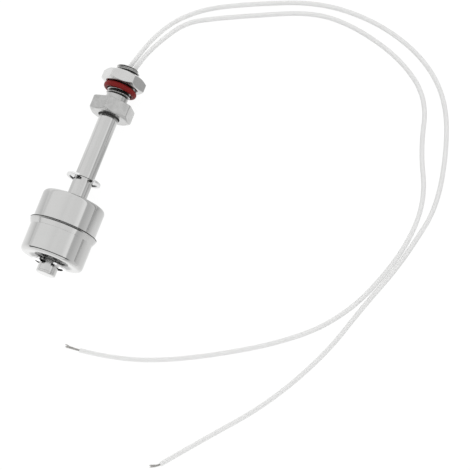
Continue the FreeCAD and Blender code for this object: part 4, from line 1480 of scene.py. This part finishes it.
class Studio:
    """The camera, the pale floor and the soft light.

    Each glow gives the floor's light at places in metres, the tent its brightness at angles in degrees, and
    the slot its darkness at angles and at places across the tent's front.
    """

    @dataclass(frozen=True)
    class Sizes:
        """Angles in degrees, places in metres, brightness in the renderer's units."""

        azimuth: float = 20.325
        elevation: float = 81.491
        distance: float = 0.630
        lens: float = 118.96
        sensor: float = 36.0
        near: float = 0.01
        far: float = 20.0
        target: tuple[float, float, float] = (0.06388, -0.00215, 0.0)
        floor: float = 4.0
        floor_colour: tuple[float, float, float] = (0.10, 0.10, 0.10)
        floor_white: float = 0.94
        floor_roughness: float = 0.9
        floor_specular: float = 0.1
        left_glow: Stops = (
            (-0.060, 1.22), (-0.045, 1.12), (-0.030, 1.02), (-0.010, 0.84), (0.000, 0.84), (0.016, 1.10),
            (0.045, 1.06),
        )
        right_glow: Stops = (
            (-0.060, 1.12), (-0.045, 1.00), (-0.030, 0.90), (-0.018, 0.94), (-0.004, 0.78), (0.010, 0.54),
            (0.018, 0.54), (0.023, 0.94), (0.032, 0.94), (0.040, 0.43), (0.080, 0.62),
        )
        far_glow: Stops = (
            (-0.20, 0.80), (-0.08, 0.92), (-0.045, 1.0), (0.035, 1.0), (0.065, 0.82), (0.15, 0.72),
        )
        side_change: tuple[float, float] = (0.002, 0.024)
        sky: float = 1.3
        tent: Stops = (
            (-110, 0.92), (-90, 0.92), (-80, 1.12), (-40, 1.12), (-26, 1.09), (-14, 1.04), (0, 1.08),
            (12, 1.05), (34, 1.05), (44, 1.20), (52, 1.27), (56, 0.70), (64, 0.70), (78, 0.82), (90, 0.92),
            (110, 0.92),
        )
        slot_turns: Stops = ((-142, 0), (-126, 1), (60, 1), (76, 0))
        slot_places: Stops = ((-0.38, 0), (-0.32, 1), (-0.10, 1), (-0.05, 0))
        slot_level: float = 0.025

    def __init__(self) -> None:
        """Keep the sizes."""
        self.size = self.Sizes()

    def build(self) -> None:
        """Set up the camera, the light and the floor."""
        self.camera()
        self.sky()
        self.floor()
        bpy.context.scene.view_settings.view_transform = "Standard"

    def camera(self) -> None:
        """Place the camera: target + distance x the direction of its azimuth and elevation."""
        size = self.size
        azimuth = math.radians(size.azimuth)
        elevation = math.radians(size.elevation)
        back = Vector((math.sin(azimuth) * math.cos(elevation), -math.cos(azimuth) * math.cos(elevation),
                       math.sin(elevation)))
        data = bpy.data.cameras.new("camera")
        data.lens = size.lens
        data.sensor_width = size.sensor
        data.clip_start = size.near
        data.clip_end = size.far
        camera = bpy.data.objects.new("camera", data)
        camera.location = Vector(size.target) + back * size.distance
        camera.rotation_mode = "QUATERNION"
        camera.rotation_quaternion = (-back).to_track_quat("-Z", "Y")
        bpy.context.scene.collection.objects.link(camera)
        bpy.context.scene.camera = camera

    def sky(self) -> None:
        """Make a soft light tent: bright above and to the left, with a darker opening low on the right.

        Its brightness follows the direction's angle from straight up towards +X, as a share of a full turn
        counted from straight down. A dark slot runs across the top of its front side.
        """
        size = self.size
        world = bpy.data.worlds.new("light_tent")
        world.use_nodes = True
        bpy.context.scene.world = world
        nodes = Nodes(world.node_tree)
        place = nodes.add("ShaderNodeTexCoord").outputs["Generated"]
        parts = nodes.add("ShaderNodeSeparateXYZ")
        nodes.join(place, parts.inputs[0])
        angle = nodes.value("ARCTAN2", parts.outputs[0], parts.outputs[2])
        share = nodes.value("ADD", nodes.value("DIVIDE", angle, FULL_TURN), 0.5)
        light = nodes.ramp(share, size.tent, 360, size.sky)
        front = nodes.value("MULTIPLY_ADD", parts.outputs[1], 0.5, 0.5)
        dark = nodes.value("MULTIPLY", nodes.ramp(share, size.slot_turns, 360),
                           nodes.ramp(front, size.slot_places, 2))
        background = world.node_tree.nodes["Background"]
        nodes.join(nodes.mix(dark, light, (*3 * (size.slot_level,), 1.0)), background.inputs["Color"])
        background.inputs["Strength"].default_value = size.sky

    def floor(self) -> None:
        """Lay the floor, a pale sheet that glows softly.

        The camera sees it as plain white, as in the photograph. Reflections see its own light, which changes
        along the stem, is weaker to the right of it, and falls off far to both sides.
        """
        size = self.size
        spread = np.linspace(-size.floor / 2, size.floor / 2, 3)
        x, y = np.meshgrid(spread, spread)
        grid = np.stack([x, y, np.zeros_like(x)], axis=-1)
        floor = Surface("studio_floor").add(grid, close_rows=False, close_columns=False).finish()
        material = bpy.data.materials.new("pale_floor")
        material.use_nodes = True
        shader = material.node_tree.nodes["Principled BSDF"]
        shader.inputs["Base Color"].default_value = (*size.floor_colour, 1.0)
        shader.inputs["Roughness"].default_value = size.floor_roughness
        shader.inputs["Specular IOR Level"].default_value = size.floor_specular
        nodes = Nodes(material.node_tree)
        parts = nodes.add("ShaderNodeSeparateXYZ")
        nodes.join(nodes.add("ShaderNodeTexCoord").outputs["Object"], parts.inputs[0])
        left, right, far = (
            nodes.ramp(nodes.value("ADD", parts.outputs[axis], 0.5), stops, 1)
            for axis, stops in ((1, size.left_glow), (1, size.right_glow), (0, size.far_glow))
        )
        side = nodes.spread(parts.outputs[0], *size.side_change, shape="SMOOTHSTEP")
        glow = nodes.value("MULTIPLY", nodes.mix(side, left, right), far)
        seen = nodes.add("ShaderNodeLightPath").outputs["Is Camera Ray"]
        nodes.join(nodes.mix(seen, glow, (*3 * (size.floor_white,), 1.0)), shader.inputs["Emission Color"])
        shader.inputs["Emission Strength"].default_value = 1.0
        floor.data.materials.append(material)


def main() -> None:
    """Build the studio and each sub-assembly in order."""
    logging.basicConfig(level=logging.INFO, format="%(name)s: %(message)s")
    Studio().build()
    effects = Effects()
    materials = {name: finish.make(effects) for name, finish in FINISHES.items()}
    for part in (Wires, Fitting, LockNut, SealRing, Stem, StopClips, Float, Seal, InnerPieces):
        made = part(materials).build()
        LOG.info("%s: %d", part.__name__, len(made) if isinstance(made, list) else 1)


if __name__ == "__main__":
    main()
